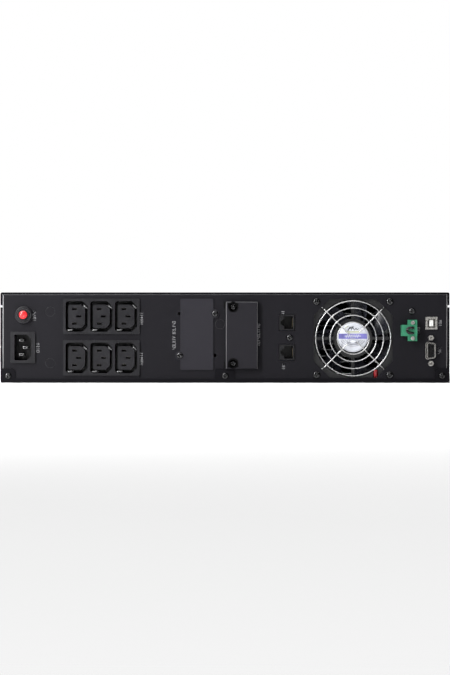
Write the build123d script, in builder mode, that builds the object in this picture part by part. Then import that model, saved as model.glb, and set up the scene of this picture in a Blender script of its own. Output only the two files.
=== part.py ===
from build123d import *
import math
import os

os.makedirs("parts", exist_ok=True)

# ---------------------------------------------------------------------------------------------
# Driving dimensions, millimetres. X runs across the rack, Y towards the front bezel, Z up.
# The origin is under the middle of the case, on the surface that the case rests on.
# ---------------------------------------------------------------------------------------------
WIDTH, HEIGHT = 438.0, 88.0  # a 19-inch case without ears, two rack units
REAR, FRAME, BEZEL, FRONT = -206.0, 190.0, 214.0, 218.0  # rear panel, front frame, bezel, tips
SHEET, PANEL_SHEET = 1.0, 1.2
CASE_BEND, PANEL_BEND = 1.6, 2.0
PANEL_HALF, PANEL_LOW, PANEL_TOP = 217.4, 1.2, 86.8
FLANGE = 12.0
SEAM_LOW, SEAM_HIGH = 73.4, 75.6  # groove between the tray's walls and the cover's skirts
COVER_FLANGE_LOW = 62.0
COVER_SCREW_Y, COVER_SCREW_Z = (-150.0, 0.0, 150.0), 68.0
LIP_TOP, TAB_TOP, TAB_SCREW_Z = 3.8, 14.0, 6.7
TAB_SCREW_X = (-211.7, 0.0, 211.7)
MIDDLE_TAB, CORNER_TAB, CORNER_TAB_X = 20.0, 13.6, 211.4
SIDE_VENTS, SIDE_VENT_PITCH, SIDE_VENT_COUNT = (90.0, 37.0), 9.0, 8
SKIRT_INNER, SKIRT_OUTER = 216.4, 217.4
BRACKET_HEIGHT, BRACKET_LEG, BRACKET_SHEET = 5.4, 14.0, 1.2
SCREW_HOLE = 1.6  # clearance radius for the M3 screws
EAR_Y, EAR_Z, EAR_PITCH_Y, EAR_PITCH_Z, EAR_HOLE = 152.0, 37.0, 24.0, 34.0, 2.0

BREAKER = (-196.4, 66.0)
INLET = (-197.2, 34.3)
BANKS = ((-120.6, 64.6), (-120.6, 24.1))
OUTLET_PITCH = 24.1
SLOT = (-27.0, 46.9)
SLOT_SCREW_PITCH = (34.4, 40.8)
JACK_COVER = (16.3, 46.1)
JACK_COVER_SCREWS = ((8.0, 73.7), (8.0, 18.8))
NETWORK = ((60.4, 58.6), (60.4, 29.6))
BRACKET_SCREWS = ((63.0, 43.9), (182.3, 69.6))
FAN = (125.0, 43.2)
FAN_SIZE, FAN_SCREW_PITCH, FAN_DEPTH = 80.0, 71.5, 25.0
FAN_OPENING, FAN_OPENING_CUT = 77.0, 16.0
FAN_REAR = REAR + PANEL_SHEET + 2.0  # the guard's wire lies between panel and fan
GUARD_WIRE = 0.85
GUARD_RINGS = (36.5, 29.5, 22.5, 15.5)
STOP = (182.5, 50.85)  # emergency-power-off plug
STOP_WIRES = 5.08
STOP_HEADER_STEPS = (((178.4, 186.4), 20.5), ((174.6, 186.4), 10.6))
USB = (201.5, 58.0)
SERIAL = (200.7, 31.1)
SERIAL_SCREWS = 25.0
STUD_RINGS = ((-170.6, 69.3), (-170.5, 19.0), (-5.0, 56.9))

BAY_WALL, BAY_REAR = -45.4, -118.0  # right-hand wall and rear bulkhead of the battery bay
TRAY_X, TRAY_Y, TRAY_Z = (-213.5, -49.5), (-115.0, FRAME), (3.0, 40.0)
BATTERY = (151.0, 94.0, 65.0)
BATTERY_X, BATTERY_Y, BATTERY_PITCH = -131.5, 40.5, 100.0
TERMINAL_X, TERMINAL_Z = 60.0, 36.7
POWER_PLUG_X, POWER_PLUG_Z = (-146.0, -117.0), (14.0, 38.0)
THUMBSCREWS = ((-190.0, 81.6), (-72.0, 81.6))

POD = (0.0, 44.0)
POD_RADIUS, POD_FACE, TRUNNION = 37.6, 216.5, 6.0
POCKET_RADIUS, POCKET_FLOOR = 38.0, 198.0
BUTTON_X, BUTTON_Z, BUTTON_RADIUS = (-16.0, 0.0, 16.0), 24.0, 4.5
WINDOW = (46.0, 22.0)
WINDOW_Z = 50.0

BOARD_Z, BOARD = 8.0, 1.6
MAIN_BOARD_X, MAIN_BOARD_Y = (-36.0, 205.0), (-150.0, 176.0)
STANDOFFS = [(x, y) for x in (-28, 84, 197) for y in (-138, 10, 166)]


# ---------------------------------------------------------------------------------------------
# Helpers
# ---------------------------------------------------------------------------------------------
def at_depth(y):
    """Plane across the case: sketch x is +X, sketch y is +Z, and extrude runs to the rear."""
    return Plane(origin=(0, y, 0), x_dir=(1, 0, 0), z_dir=(0, -1, 0))


def at_side(x):
    """Plane along the case: sketch x is +Y, sketch y is +Z, and extrude runs to +X."""
    return Plane(origin=(x, 0, 0), x_dir=(0, 1, 0), z_dir=(1, 0, 0))


def block(x, y, z, mode=Mode.ADD):
    """A box between two values of each coordinate."""
    with Locations((sum(x) / 2, sum(y) / 2, sum(z) / 2)):
        Box(abs(x[1] - x[0]), abs(y[1] - y[0]), abs(z[1] - z[0]), mode=mode)


def rod(x, z, radius, y, mode=Mode.ADD):
    """A round bar along Y between two depths."""
    with Locations((x, sum(y) / 2, z)):
        Cylinder(radius, abs(y[1] - y[0]), rotation=(90, 0, 0), mode=mode)


def board_bracket(x, z, board_x):
    """A folded bracket behind the panel that takes a screw at x and ends on a board at board_x."""
    seat = REAR + PANEL_SHEET
    height = span(z, BRACKET_HEIGHT)
    block((x - 4.5, board_x), (seat, seat + BRACKET_SHEET), height)
    block((board_x - BRACKET_SHEET, board_x), (seat, seat + BRACKET_LEG), height)
    rod(x, z, SCREW_HOLE, (REAR, REAR + 4), Mode.SUBTRACT)


def span(centre, width):
    return (centre - width / 2, centre + width / 2)


def pan_screw(x, z, seat, length, head=3.3, shank=1.4):
    """A pan-head screw seen from the rear: head behind the seat, shank in front of it."""
    rod(x, z, head, (seat - 2.2, seat))
    rod(x, z, shank, (seat, seat + length))
    for width, height in ((0.9, 3.6), (3.6, 0.9)):
        block(span(x, width), (seat - 2.3, seat - 0.9), span(z, height), Mode.SUBTRACT)


def right_chamfered(width, height, cut, left_radius):
    """A rounded rectangle whose corners on the +X side are cut off, like a power connector."""
    with BuildSketch() as outline:
        Rectangle(width, height)
        fillet(outline.vertices().group_by(Axis.X)[0], left_radius)
        chamfer(outline.vertices().group_by(Axis.X)[-1], cut)
        fillet(outline.vertices().filter_by(lambda v: v.X > width / 2 - cut - 0.5), 1.0)
    return outline.sketch


def d_outline(height, width, radius):
    """The D of a nine-way serial port standing on end, its long side towards -X."""
    lean = width * math.tan(math.radians(10))
    with BuildSketch() as outline:
        with BuildLine():
            Polyline(
                (-width / 2, -height / 2),
                (-width / 2, height / 2),
                (width / 2, height / 2 - lean),
                (width / 2, -height / 2 + lean),
                close=True,
            )
        make_face()
        fillet(outline.vertices(), radius)
    return outline.sketch


# ---------------------------------------------------------------------------------------------
# Case: tray, cover, rear panel, front frame, battery-bay wall
# ---------------------------------------------------------------------------------------------
with BuildPart() as base_tray:
    with BuildSketch(at_depth(REAR - SHEET)) as section:
        Rectangle(WIDTH, SEAM_LOW, align=(Align.CENTER, Align.MIN))
        fillet(section.vertices().group_by(Axis.Y)[0], CASE_BEND)
        with Locations((0, SHEET)):
            inside = (WIDTH - 2 * SHEET, SEAM_LOW)
            Rectangle(*inside, align=(Align.CENTER, Align.MIN), mode=Mode.SUBTRACT)
    extrude(amount=-(FRAME - REAR + SHEET))
    with BuildSketch(at_depth(REAR)) as lip:
        Rectangle(WIDTH - 2, LIP_TOP, align=(Align.CENTER, Align.MIN))
        Rectangle(MIDDLE_TAB, TAB_TOP, align=(Align.CENTER, Align.MIN))
        for side in (-1, 1):
            with Locations((side * CORNER_TAB_X, 0)):
                Rectangle(CORNER_TAB, TAB_TOP, align=(Align.CENTER, Align.MIN))
        tab_corners = lip.vertices().group_by(Axis.Y)[-1].filter_by(lambda v: abs(v.X) < 215)
        fillet(tab_corners, 3)
        with Locations(*[(x, TAB_SCREW_Z) for x in TAB_SCREW_X]):
            Circle(1.7, mode=Mode.SUBTRACT)
    extrude(amount=SHEET)
    with BuildSketch(at_side(-WIDTH / 2 - 1)):
        with Locations((EAR_Y, EAR_Z)):
            with GridLocations(EAR_PITCH_Y, EAR_PITCH_Z, 2, 2):
                Circle(EAR_HOLE)
    extrude(amount=WIDTH + 2, mode=Mode.SUBTRACT)
    for side in (-1, 1):
        for y in COVER_SCREW_Y:
            face = Plane(origin=(side * WIDTH / 2, y, COVER_SCREW_Z), z_dir=(side, 0, 0))
            with Locations(face):
                CounterSinkHole(1.6, 2.9, depth=3 * SHEET, counter_sink_angle=100)
    with BuildSketch(at_side(WIDTH / 2 - 5)):
        with Locations(SIDE_VENTS):
            with GridLocations(SIDE_VENT_PITCH, 0, SIDE_VENT_COUNT, 1):
                SlotOverall(44, 4, rotation=90)
    extrude(amount=10, mode=Mode.SUBTRACT)
    # standoffs for the main board, pressed into the floor
    with BuildSketch(Plane.XY.offset(SHEET)):
        with Locations(*STANDOFFS):
            RegularPolygon(3.2, 6)
    extrude(amount=BOARD_Z - SHEET)
    with BuildSketch(Plane.XY.offset(BOARD_Z)):
        with Locations(*STANDOFFS):
            Circle(1.5)
    extrude(amount=BOARD + 0.6)
    # a lancing nick in the left wall's rear edge
    block((-WIDTH / 2 - 1, -WIDTH / 2 + 2), (REAR - 2, REAR + 2), (33.9, 35.7), Mode.SUBTRACT)
base_tray.part.label = "base_tray"
export_step(base_tray.part, "parts/base_tray.step")

with BuildPart() as top_cover:
    with BuildSketch(at_depth(REAR - SHEET)) as section:
        with Locations((0, SEAM_HIGH)):
            Rectangle(WIDTH, HEIGHT - SEAM_HIGH, align=(Align.CENTER, Align.MIN))
        fillet(section.vertices().group_by(Axis.Y)[-1], CASE_BEND)
        with Locations((0, SEAM_HIGH)):
            inside = (WIDTH - 2 * SHEET, HEIGHT - SEAM_HIGH - SHEET)
            Rectangle(*inside, align=(Align.CENTER, Align.MIN), mode=Mode.SUBTRACT)
    extrude(amount=-(FRAME - REAR + SHEET))
    # the skirts step inwards below their edge and tuck behind the tray's walls
    for side in (-1, 1):
        tucked_y = (REAR + FLANGE + 1, FRAME - FLANGE - 2)
        inner, outer = side * SKIRT_INNER, side * SKIRT_OUTER
        block((inner, side * WIDTH / 2), tucked_y, (SEAM_HIGH, SEAM_HIGH + SHEET))
        block((inner, outer), tucked_y, (COVER_FLANGE_LOW, SEAM_HIGH + SHEET))
        with BuildSketch(at_side(side * 217 - 2)):
            with Locations(*[(y, COVER_SCREW_Z) for y in COVER_SCREW_Y]):
                Circle(1.5)
        extrude(amount=4, mode=Mode.SUBTRACT)
top_cover.part.label = "top_cover"
export_step(top_cover.part, "parts/top_cover.step")

with BuildPart() as rear_panel:
    with BuildSketch(at_depth(REAR + FLANGE)):
        with Locations((0, PANEL_LOW)):
            size = (2 * PANEL_HALF, PANEL_TOP - PANEL_LOW)
            Rectangle(*size, align=(Align.CENTER, Align.MIN))
    extrude(amount=FLANGE)
    rear_edges = rear_panel.faces().sort_by(Axis.Y)[0].edges().sort_by(Axis.Z)[1:]
    fillet(rear_edges, PANEL_BEND)
    open_faces = [rear_panel.faces().sort_by(Axis.Y)[-1], rear_panel.faces().sort_by(Axis.Z)[0]]
    offset(amount=-PANEL_SHEET, openings=open_faces)
    with BuildSketch(at_depth(REAR + 3)) as cutouts:
        with Locations(FAN):
            Rectangle(FAN_OPENING, FAN_OPENING)
        chamfer(cutouts.vertices(), FAN_OPENING_CUT)
        with Locations(FAN):
            with GridLocations(FAN_SCREW_PITCH, FAN_SCREW_PITCH, 2, 2):
                Circle(2.4)
        with Locations(BREAKER):
            Circle(6.2)
        with Locations(INLET):
            Rectangle(20.2, 27.6)
        with Locations(*BANKS):
            Rectangle(71.5, 31.5)
        with Locations(SLOT):
            Rectangle(26, 60)
            with GridLocations(*SLOT_SCREW_PITCH, 2, 2):
                Circle(SCREW_HOLE)
        with Locations((17, JACK_COVER[1])):
            Rectangle(24, 44)
        with Locations(*JACK_COVER_SCREWS, *BRACKET_SCREWS):
            Circle(SCREW_HOLE)
        with Locations(*NETWORK):
            Rectangle(15.6, 16)
        for x_range, height in STOP_HEADER_STEPS:
            with Locations((sum(x_range) / 2, STOP[1])):
                Rectangle(x_range[1] - x_range[0] + 0.4, height + 0.4)
        with Locations(USB):
            Rectangle(11.8, 12.5)
        with Locations(SERIAL):
            add(d_outline(18.2, 10.2, 2.4))
            with GridLocations(0, SERIAL_SCREWS, 1, 2):
                Circle(1.7)
        with Locations(*[(x, TAB_SCREW_Z) for x in TAB_SCREW_X]):
            Circle(SCREW_HOLE)
    extrude(amount=6, mode=Mode.SUBTRACT)
    # flush heads of pressed-in studs show as shallow rings
    with BuildSketch(at_depth(REAR + 0.2)):
        with Locations(*STUD_RINGS):
            Circle(4.8)
            Circle(4.35, mode=Mode.SUBTRACT)
    extrude(amount=1, mode=Mode.SUBTRACT)
rear_panel.part.label = "rear_panel"
export_step(rear_panel.part, "parts/rear_panel.step")

with BuildPart() as front_frame:
    with BuildSketch(at_depth(FRAME)):
        with Locations((0, PANEL_LOW)):
            size = (2 * PANEL_HALF, PANEL_TOP - PANEL_LOW)
            Rectangle(*size, align=(Align.CENTER, Align.MIN))
    extrude(amount=FLANGE)
    front_edges = front_frame.faces().sort_by(Axis.Y)[-1].edges().sort_by(Axis.Z)[1:]
    fillet(front_edges, PANEL_BEND)
    open_faces = [front_frame.faces().sort_by(Axis.Y)[0], front_frame.faces().sort_by(Axis.Z)[0]]
    offset(amount=-PANEL_SHEET, openings=open_faces)
    with BuildSketch(at_depth(FRAME + 2)):
        with Locations((sum(TRAY_X) / 2, 0)):
            Rectangle(TRAY_X[1] - TRAY_X[0] + 0.8, 78.5, align=(Align.CENTER, Align.MIN))
        with Locations(*THUMBSCREWS):
            Circle(2.3)
        with Locations(POD):
            Circle(11)
        with Locations((130, 44)):
            with GridLocations(13, 0, 12, 1):
                SlotOverall(60, 9, rotation=90)
    extrude(amount=4, mode=Mode.SUBTRACT)
front_frame.part.label = "front_frame"
export_step(front_frame.part, "parts/front_frame.step")

with BuildPart() as battery_bay_wall:
    block((BAY_WALL - PANEL_SHEET, BAY_WALL), (BAY_REAR - PANEL_SHEET, 188.4), (SHEET, 78.0))
    block((-216.0, BAY_WALL), (BAY_REAR - PANEL_SHEET, BAY_REAR), (SHEET, 78.0))
    block((BAY_WALL, BAY_WALL + 8), (BAY_REAR, 188.4), (SHEET, SHEET + PANEL_SHEET))
    with BuildSketch(at_depth(BAY_REAR + 1)):
        with Locations((sum(POWER_PLUG_X) / 2, sum(POWER_PLUG_Z) / 2)):
            Rectangle(33, 28)
    extrude(amount=4, mode=Mode.SUBTRACT)
battery_bay_wall.part.label = "battery_bay_wall"
export_step(battery_bay_wall.part, "parts/battery_bay_wall.step")

with BuildPart() as cover_screws:
    for side in (-1, 1):
        for y in COVER_SCREW_Y:
            outer = side * (WIDTH / 2 - 0.1)
            with BuildSketch(Plane(origin=(outer, y, COVER_SCREW_Z), z_dir=(-side, 0, 0))):
                Circle(2.7)
            extrude(amount=1.1, taper=50)
            with BuildSketch(Plane(origin=(outer, y, COVER_SCREW_Z), z_dir=(-side, 0, 0))):
                Circle(1.35)
            extrude(amount=6)
cover_screws.part.label = "cover_screws"
export_step(cover_screws.part, "parts/cover_screws.step")

with BuildPart() as panel_screws:
    for x in TAB_SCREW_X:
        pan_screw(x, TAB_SCREW_Z, REAR - SHEET, 6)
    for x, z in BRACKET_SCREWS:
        pan_screw(x, z, REAR, 5)
    for x, z in JACK_COVER_SCREWS:
        pan_screw(x, z, REAR - SHEET, 6)
    for side in (-1, 1):
        x = SLOT[0] + side * SLOT_SCREW_PITCH[0] / 2
        z = SLOT[1] + side * SLOT_SCREW_PITCH[1] / 2
        pan_screw(x, z, REAR - PANEL_SHEET, 6)
panel_screws.part.label = "panel_screws"
export_step(panel_screws.part, "parts/panel_screws.step")

# ---------------------------------------------------------------------------------------------
# Covers on the rear panel
# ---------------------------------------------------------------------------------------------
with BuildPart() as slot_cover:
    with BuildSketch(at_depth(REAR)) as plate:
        with Locations((SLOT[0] - 0.5, SLOT[1] + 0.2)):
            RectangleRounded(32.2, 69.5, 1.2)
        for side in (-1, 1):
            ear = (
                SLOT[0] + side * SLOT_SCREW_PITCH[0] / 2,
                SLOT[1] + side * SLOT_SCREW_PITCH[1] / 2,
            )
            with Locations(ear):
                Circle(4.2)
            with Locations(ear):
                Circle(SCREW_HOLE, mode=Mode.SUBTRACT)
    extrude(amount=PANEL_SHEET)
slot_cover.part.label = "slot_cover"
export_step(slot_cover.part, "parts/slot_cover.step")

COVER_DEPTH, COVER_W, COVER_H = 6.6, 31.0, 65.5
with BuildPart() as battery_jack_cover:
    with BuildSketch(at_depth(REAR)) as outer:
        with Locations(JACK_COVER):
            Rectangle(COVER_W, COVER_H)
    extrude(amount=COVER_DEPTH)
    fillet(battery_jack_cover.faces().sort_by(Axis.Y)[0].edges(), 1.6)
    with BuildSketch(at_depth(REAR)) as hollow:
        with Locations(JACK_COVER):
            Rectangle(COVER_W - 2 * SHEET, COVER_H - 2 * SHEET)
        for (x, z), open_way in zip(JACK_COVER_SCREWS, (1, -1)):
            with Locations((x, z), (x, z + open_way * 5)):
                Circle(6.2, mode=Mode.SUBTRACT)
            with Locations((x, z + open_way * 4)):
                Rectangle(12.4, 8, mode=Mode.SUBTRACT)
    extrude(amount=COVER_DEPTH - SHEET, mode=Mode.SUBTRACT)
    with BuildSketch(at_depth(REAR - SHEET)) as wells:
        for (x, z), open_way in zip(JACK_COVER_SCREWS, (1, -1)):
            with Locations((x, z)):
                Circle(5.15)
            with Locations((x, z + open_way * 2)):
                Rectangle(10.3, 4)
    extrude(amount=COVER_DEPTH, mode=Mode.SUBTRACT)
    with BuildSketch(at_depth(REAR)) as ears:
        edge = JACK_COVER[0] - COVER_W / 2
        for side in (-1, 1):
            with Locations((edge, JACK_COVER[1] + side * (COVER_H / 2 - 3.5))):
                Rectangle(4, 7)
    extrude(amount=SHEET)
    with BuildSketch(at_depth(REAR + 1)):
        with Locations(*JACK_COVER_SCREWS):
            Circle(SCREW_HOLE)
    extrude(amount=4, mode=Mode.SUBTRACT)
    # relief where the cover rides over the tray's middle tab
    block((-3.0, 10.4), (REAR - SHEET - 0.2, REAR + 1), (10.0, TAB_TOP + 0.3), Mode.SUBTRACT)
battery_jack_cover.part.label = "battery_jack_cover"
export_step(battery_jack_cover.part, "parts/battery_jack_cover.step")

with BuildPart() as battery_jack:
    block((6.0, 28.0), (REAR + PANEL_SHEET + 0.2, REAR + 36), (25.0, 67.0))
    for z in (36.0, 56.0):
        block((10.0, 24.0), (REAR, REAR + 20), span(z, 15), Mode.SUBTRACT)
battery_jack.part.label = "battery_jack"
export_step(battery_jack.part, "parts/battery_jack.step")

# ---------------------------------------------------------------------------------------------
# Power: breaker, inlet, outlets
# ---------------------------------------------------------------------------------------------
with BuildPart() as breaker_body:
    rod(*BREAKER, 5.9, (REAR - 5.5, REAR + PANEL_SHEET))
    block(span(BREAKER[0], 15), (REAR + PANEL_SHEET, REAR + 34), span(BREAKER[1], 30))
    rod(*BREAKER, 4.3, (REAR - 8, REAR + 14), Mode.SUBTRACT)
breaker_body.part.label = "breaker_body"
export_step(breaker_body.part, "parts/breaker_body.step")

with BuildPart() as breaker_nut:
    rod(*BREAKER, 8.4, (REAR - 4.5, REAR))
    fillet(breaker_nut.edges().filter_by(GeomType.CIRCLE).sort_by(Axis.Y)[0], 1.0)
    rod(*BREAKER, 6.0, (REAR - 6, REAR + 1), Mode.SUBTRACT)
breaker_nut.part.label = "breaker_nut"
export_step(breaker_nut.part, "parts/breaker_nut.step")

with BuildPart() as breaker_button:
    rod(*BREAKER, 4.0, (REAR - 8.5, REAR + 8))
    fillet(breaker_button.edges().filter_by(GeomType.CIRCLE).sort_by(Axis.Y)[0], 1.2)
breaker_button.part.label = "breaker_button"
export_step(breaker_button.part, "parts/breaker_button.step")

INLET_LIP, INLET_FLOOR = REAR - 2.0, REAR + 17.0
with BuildPart() as inlet_housing:
    with BuildSketch(at_depth(REAR)):
        with Locations(INLET):
            RectangleRounded(24.2, 30.5, 1.0)
    extrude(amount=2)
    block(span(INLET[0], 19.6), (REAR, REAR + 20), span(INLET[1], 27.0))
    with BuildSketch(at_depth(INLET_FLOOR)):
        with Locations(INLET):
            add(right_chamfered(16.5, 25.1, 4.4, 1.2))
    extrude(amount=INLET_FLOOR - INLET_LIP, mode=Mode.SUBTRACT)
    with BuildSketch(at_depth(REAR + 21)) as pin_slots:
        for x, z in ((-2, 7), (-2, -7), (2, 0)):
            with Locations((INLET[0] + x, INLET[1] + z)):
                Rectangle(4.2, 2.2)
    extrude(amount=6, mode=Mode.SUBTRACT)
inlet_housing.part.label = "inlet_housing"
export_step(inlet_housing.part, "parts/inlet_housing.step")

with BuildPart() as inlet_pins:
    for x, z in ((-2, 7), (-2, -7), (2, 0)):
        tip = REAR + (1.0 if z == 0 else 3.0)
        block(span(INLET[0] + x, 4.0), (tip, REAR + 30), span(INLET[1] + z, 2.0))
inlet_pins.part.label = "inlet_pins"
export_step(inlet_pins.part, "parts/inlet_pins.step")

OUTLET_FLOOR = REAR + 16.0
OUTLET_SLOTS = ((-2.1, 7.1), (-2.1, -7.1), (2.0, 0.0))
with BuildPart() as outlet_banks:
    for bank in BANKS:
        with BuildSketch(at_depth(REAR)):
            with Locations(bank):
                RectangleRounded(74.5, 34.6, 1.0)
        extrude(amount=2)
        block(span(bank[0], 71.1), (REAR, REAR + 20), span(bank[1], 31.1))
        with BuildSketch(at_depth(OUTLET_FLOOR)):
            with Locations(bank):
                with GridLocations(OUTLET_PITCH, 0, 3, 1):
                    add(right_chamfered(21.6, 29.9, 5.2, 3.2))
                    add(right_chamfered(16.3, 22.9, 3.8, 2.0), mode=Mode.SUBTRACT)
        extrude(amount=OUTLET_FLOOR - REAR + 2, mode=Mode.SUBTRACT)
        # the islands stand a little below the rim
        with BuildSketch(at_depth(REAR - 1.0)):
            with Locations(bank):
                with GridLocations(OUTLET_PITCH, 0, 3, 1):
                    add(right_chamfered(17.0, 23.6, 3.9, 2.2))
        extrude(amount=2, mode=Mode.SUBTRACT)
        with BuildSketch(at_depth(REAR + 21)):
            with Locations(bank):
                with GridLocations(OUTLET_PITCH, 0, 3, 1):
                    with Locations(*OUTLET_SLOTS):
                        Rectangle(4.6, 2.0)
        extrude(amount=30, mode=Mode.SUBTRACT)
outlet_banks.part.label = "outlet_banks"
export_step(outlet_banks.part, "parts/outlet_banks.step")

with BuildPart() as outlet_contacts:
    with BuildSketch(at_depth(REAR + 26)):
        with Locations(*BANKS):
            with GridLocations(OUTLET_PITCH, 0, 3, 1):
                with Locations(*OUTLET_SLOTS):
                    Rectangle(4.4, 1.8)
                    Rectangle(3.8, 0.7, mode=Mode.SUBTRACT)
    extrude(amount=17)
outlet_contacts.part.label = "outlet_contacts"
export_step(outlet_contacts.part, "parts/outlet_contacts.step")

# ---------------------------------------------------------------------------------------------
# Fan
# ---------------------------------------------------------------------------------------------
FAN_FRONT = FAN_REAR + FAN_DEPTH
BORE, HUB, LEAD_X = 38.0, 18.6, 147.3
with BuildPart() as fan_frame:
    with BuildSketch(at_depth(FAN_FRONT)):
        with Locations(FAN):
            RectangleRounded(FAN_SIZE, FAN_SIZE, 4)
            Circle(BORE, mode=Mode.SUBTRACT)
            with GridLocations(FAN_SCREW_PITCH, FAN_SCREW_PITCH, 2, 2):
                Circle(2.15, mode=Mode.SUBTRACT)
    extrude(amount=FAN_DEPTH)
    with BuildSketch(at_depth(FAN_FRONT - 4)):
        with Locations(FAN):
            Rectangle(FAN_SIZE + 1, FAN_SIZE + 1)
            Circle(FAN_SIZE / 2 - 0.3, mode=Mode.SUBTRACT)
    extrude(amount=FAN_DEPTH - 8, mode=Mode.SUBTRACT)
    block(span(FAN[0], 2 * BORE + 1), (FAN_REAR, FAN_REAR + 3), span(FAN[1], 3))
    block(span(FAN[0], 3), (FAN_REAR, FAN_REAR + 3), span(FAN[1], 2 * BORE + 1))
    rod(*FAN, 19, (FAN_REAR, FAN_REAR + 3))
    rod(*FAN, 4, (FAN_REAR, FAN_REAR + 16))
    # the leads leave through a notch in the corner and run out under the frame
    block(span(LEAD_X, 4.6), (FAN_REAR - 1, FAN_REAR + 4.5), (2.0, 13.2), Mode.SUBTRACT)
    block(span(LEAD_X, 4.6), (FAN_REAR - 1, FAN_FRONT + 1), (2.0, 6.4), Mode.SUBTRACT)
    rod(*FAN, 1.55, (FAN_REAR + 1.8, FAN_REAR + 17), Mode.SUBTRACT)
fan_frame.part.label = "fan_frame"
export_step(fan_frame.part, "parts/fan_frame.step")

BLADES, BLADE_MIDDLE = 7, FAN_REAR + 14.0
with BuildPart() as fan_rotor:
    for number in range(BLADES):
        angle = math.radians(360 / BLADES * number + 20)
        out = Vector(math.cos(angle), 0, math.sin(angle))
        hub_middle = Vector(FAN[0], BLADE_MIDDLE, FAN[1])
        along = Vector(-math.sin(angle), 0, math.cos(angle))
        for reach, chord, pitch in ((HUB - 1.5, 17, 50), (BORE + 3, 26, 32)):
            with BuildSketch(Plane(origin=hub_middle + out * reach, x_dir=along, z_dir=out)):
                Rectangle(chord, 1.4, rotation=pitch)
        loft()
    rod(*FAN, BORE - 0.8, (FAN_REAR + 1, FAN_FRONT + 1), Mode.INTERSECT)
    rod(*FAN, HUB, (FAN_REAR + 4, FAN_REAR + 23.4))
    fillet(fan_rotor.edges().filter_by(GeomType.CIRCLE).sort_by(Axis.Y)[-1], 1.5)
    rod(*FAN, HUB - 2, (FAN_REAR + 3, FAN_REAR + 21.4), Mode.SUBTRACT)
    rod(*FAN, 3.6, (FAN_REAR + 17, FAN_REAR + 22))
    rod(*FAN, 1.5, (FAN_REAR + 2.2, FAN_REAR + 18))
fan_rotor.part.label = "fan_rotor"
export_step(fan_rotor.part, "parts/fan_rotor.step")

GUARD_SEAT = REAR + PANEL_SHEET + GUARD_WIRE + 0.05
GUARD_PROUD = REAR - 0.2
LOOP_DISTANCE = FAN_SCREW_PITCH / 2 * math.sqrt(2)
with BuildPart() as fan_guard:
    for angle, inner in ((45, 8.0), (135, 5.0), (225, 8.0), (315, 5.0)):
        out = Vector(math.cos(math.radians(angle)), 0, math.sin(math.radians(angle)))
        middle = Vector(FAN[0], 0, FAN[1])
        corners = (
            (LOOP_DISTANCE - 3.1, GUARD_SEAT),
            (41.6, GUARD_SEAT),
            (39.2, GUARD_PROUD),
            (inner, GUARD_PROUD),
        )
        with BuildLine() as spoke:
            points = [middle + out * reach + Vector(0, y, 0) for reach, y in corners]
            FilletPolyline(*points, radius=1.0)
        with BuildSketch(Plane(origin=spoke.line @ 0, z_dir=spoke.line % 0)):
            Circle(GUARD_WIRE)
        sweep(path=spoke.line)
        loop = middle + out * LOOP_DISTANCE + Vector(0, GUARD_SEAT, 0)
        with Locations(loop):
            Torus(3.15, GUARD_WIRE, rotation=(90, 0, 0))
    with Locations((FAN[0], GUARD_PROUD - 2 * GUARD_WIRE + 0.5, FAN[1])):
        for radius in GUARD_RINGS:
            Torus(radius, GUARD_WIRE, rotation=(90, 0, 0))
fan_guard.part.label = "fan_guard"
export_step(fan_guard.part, "parts/fan_guard.step")

with BuildPart() as fan_screws:
    for side_x in (-1, 1):
        for side_z in (-1, 1):
            x = FAN[0] + side_x * FAN_SCREW_PITCH / 2
            z = FAN[1] + side_z * FAN_SCREW_PITCH / 2
            pan_screw(x, z, REAR, 10, head=3.6, shank=2.05)
fan_screws.part.label = "fan_screws"
export_step(fan_screws.part, "parts/fan_screws.step")

SLEEVE_Y, SLEEVE_Z = FAN_REAR + 0.2, (6.6, 12.4)
with BuildPart() as fan_leads:
    with Locations((LEAD_X, SLEEVE_Y, sum(SLEEVE_Z) / 2)):
        Cylinder(1.9, SLEEVE_Z[1] - SLEEVE_Z[0])
    fillet(fan_leads.edges().filter_by(GeomType.CIRCLE).sort_by(Axis.Z)[-1], 1.0)
    for x in (LEAD_X - 0.8, LEAD_X + 0.8):
        with BuildLine() as lead:
            FilletPolyline(
                (x, SLEEVE_Y, SLEEVE_Z[0]),
                (x, SLEEVE_Y, 4.4),
                (x, -146.0, 4.4),
                (x, -146.0, BOARD_Z),
                radius=1.9,
            )
        with BuildSketch(Plane(origin=lead.line @ 0, z_dir=lead.line % 0)):
            Circle(0.7)
        sweep(path=lead.line)
fan_leads.part.label = "fan_leads"
export_step(fan_leads.part, "parts/fan_leads.step")

# ---------------------------------------------------------------------------------------------
# Ports
# ---------------------------------------------------------------------------------------------
JACK_FACE, JACK_FLOOR = REAR - 1.0, REAR + 13.0
with BuildPart() as network_jacks:
    for x, z in NETWORK:
        block(span(x, 14.8), (JACK_FACE, REAR + 19), span(z, 15.2))
        block((x - 2.6, x + 6.0), (JACK_FACE - 1, JACK_FLOOR), span(z, 12.4), Mode.SUBTRACT)
        block((x - 4.8, x - 2.5), (JACK_FACE - 1, JACK_FLOOR), span(z, 6.4), Mode.SUBTRACT)
        block((x - 6.2, x - 4.7), (JACK_FACE - 1, JACK_FLOOR), span(z, 3.4), Mode.SUBTRACT)
network_jacks.part.label = "network_jacks"
export_step(network_jacks.part, "parts/network_jacks.step")

with BuildPart() as network_contacts:
    for x, z in NETWORK:
        for number in range(8):
            pitch_z = z + (number - 3.5) * 1.02
            block((x + 5.3, x + 5.9), (JACK_FLOOR - 11, JACK_FLOOR), span(pitch_z, 0.5))
network_contacts.part.label = "network_contacts"
export_step(network_contacts.part, "parts/network_contacts.step")

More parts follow.
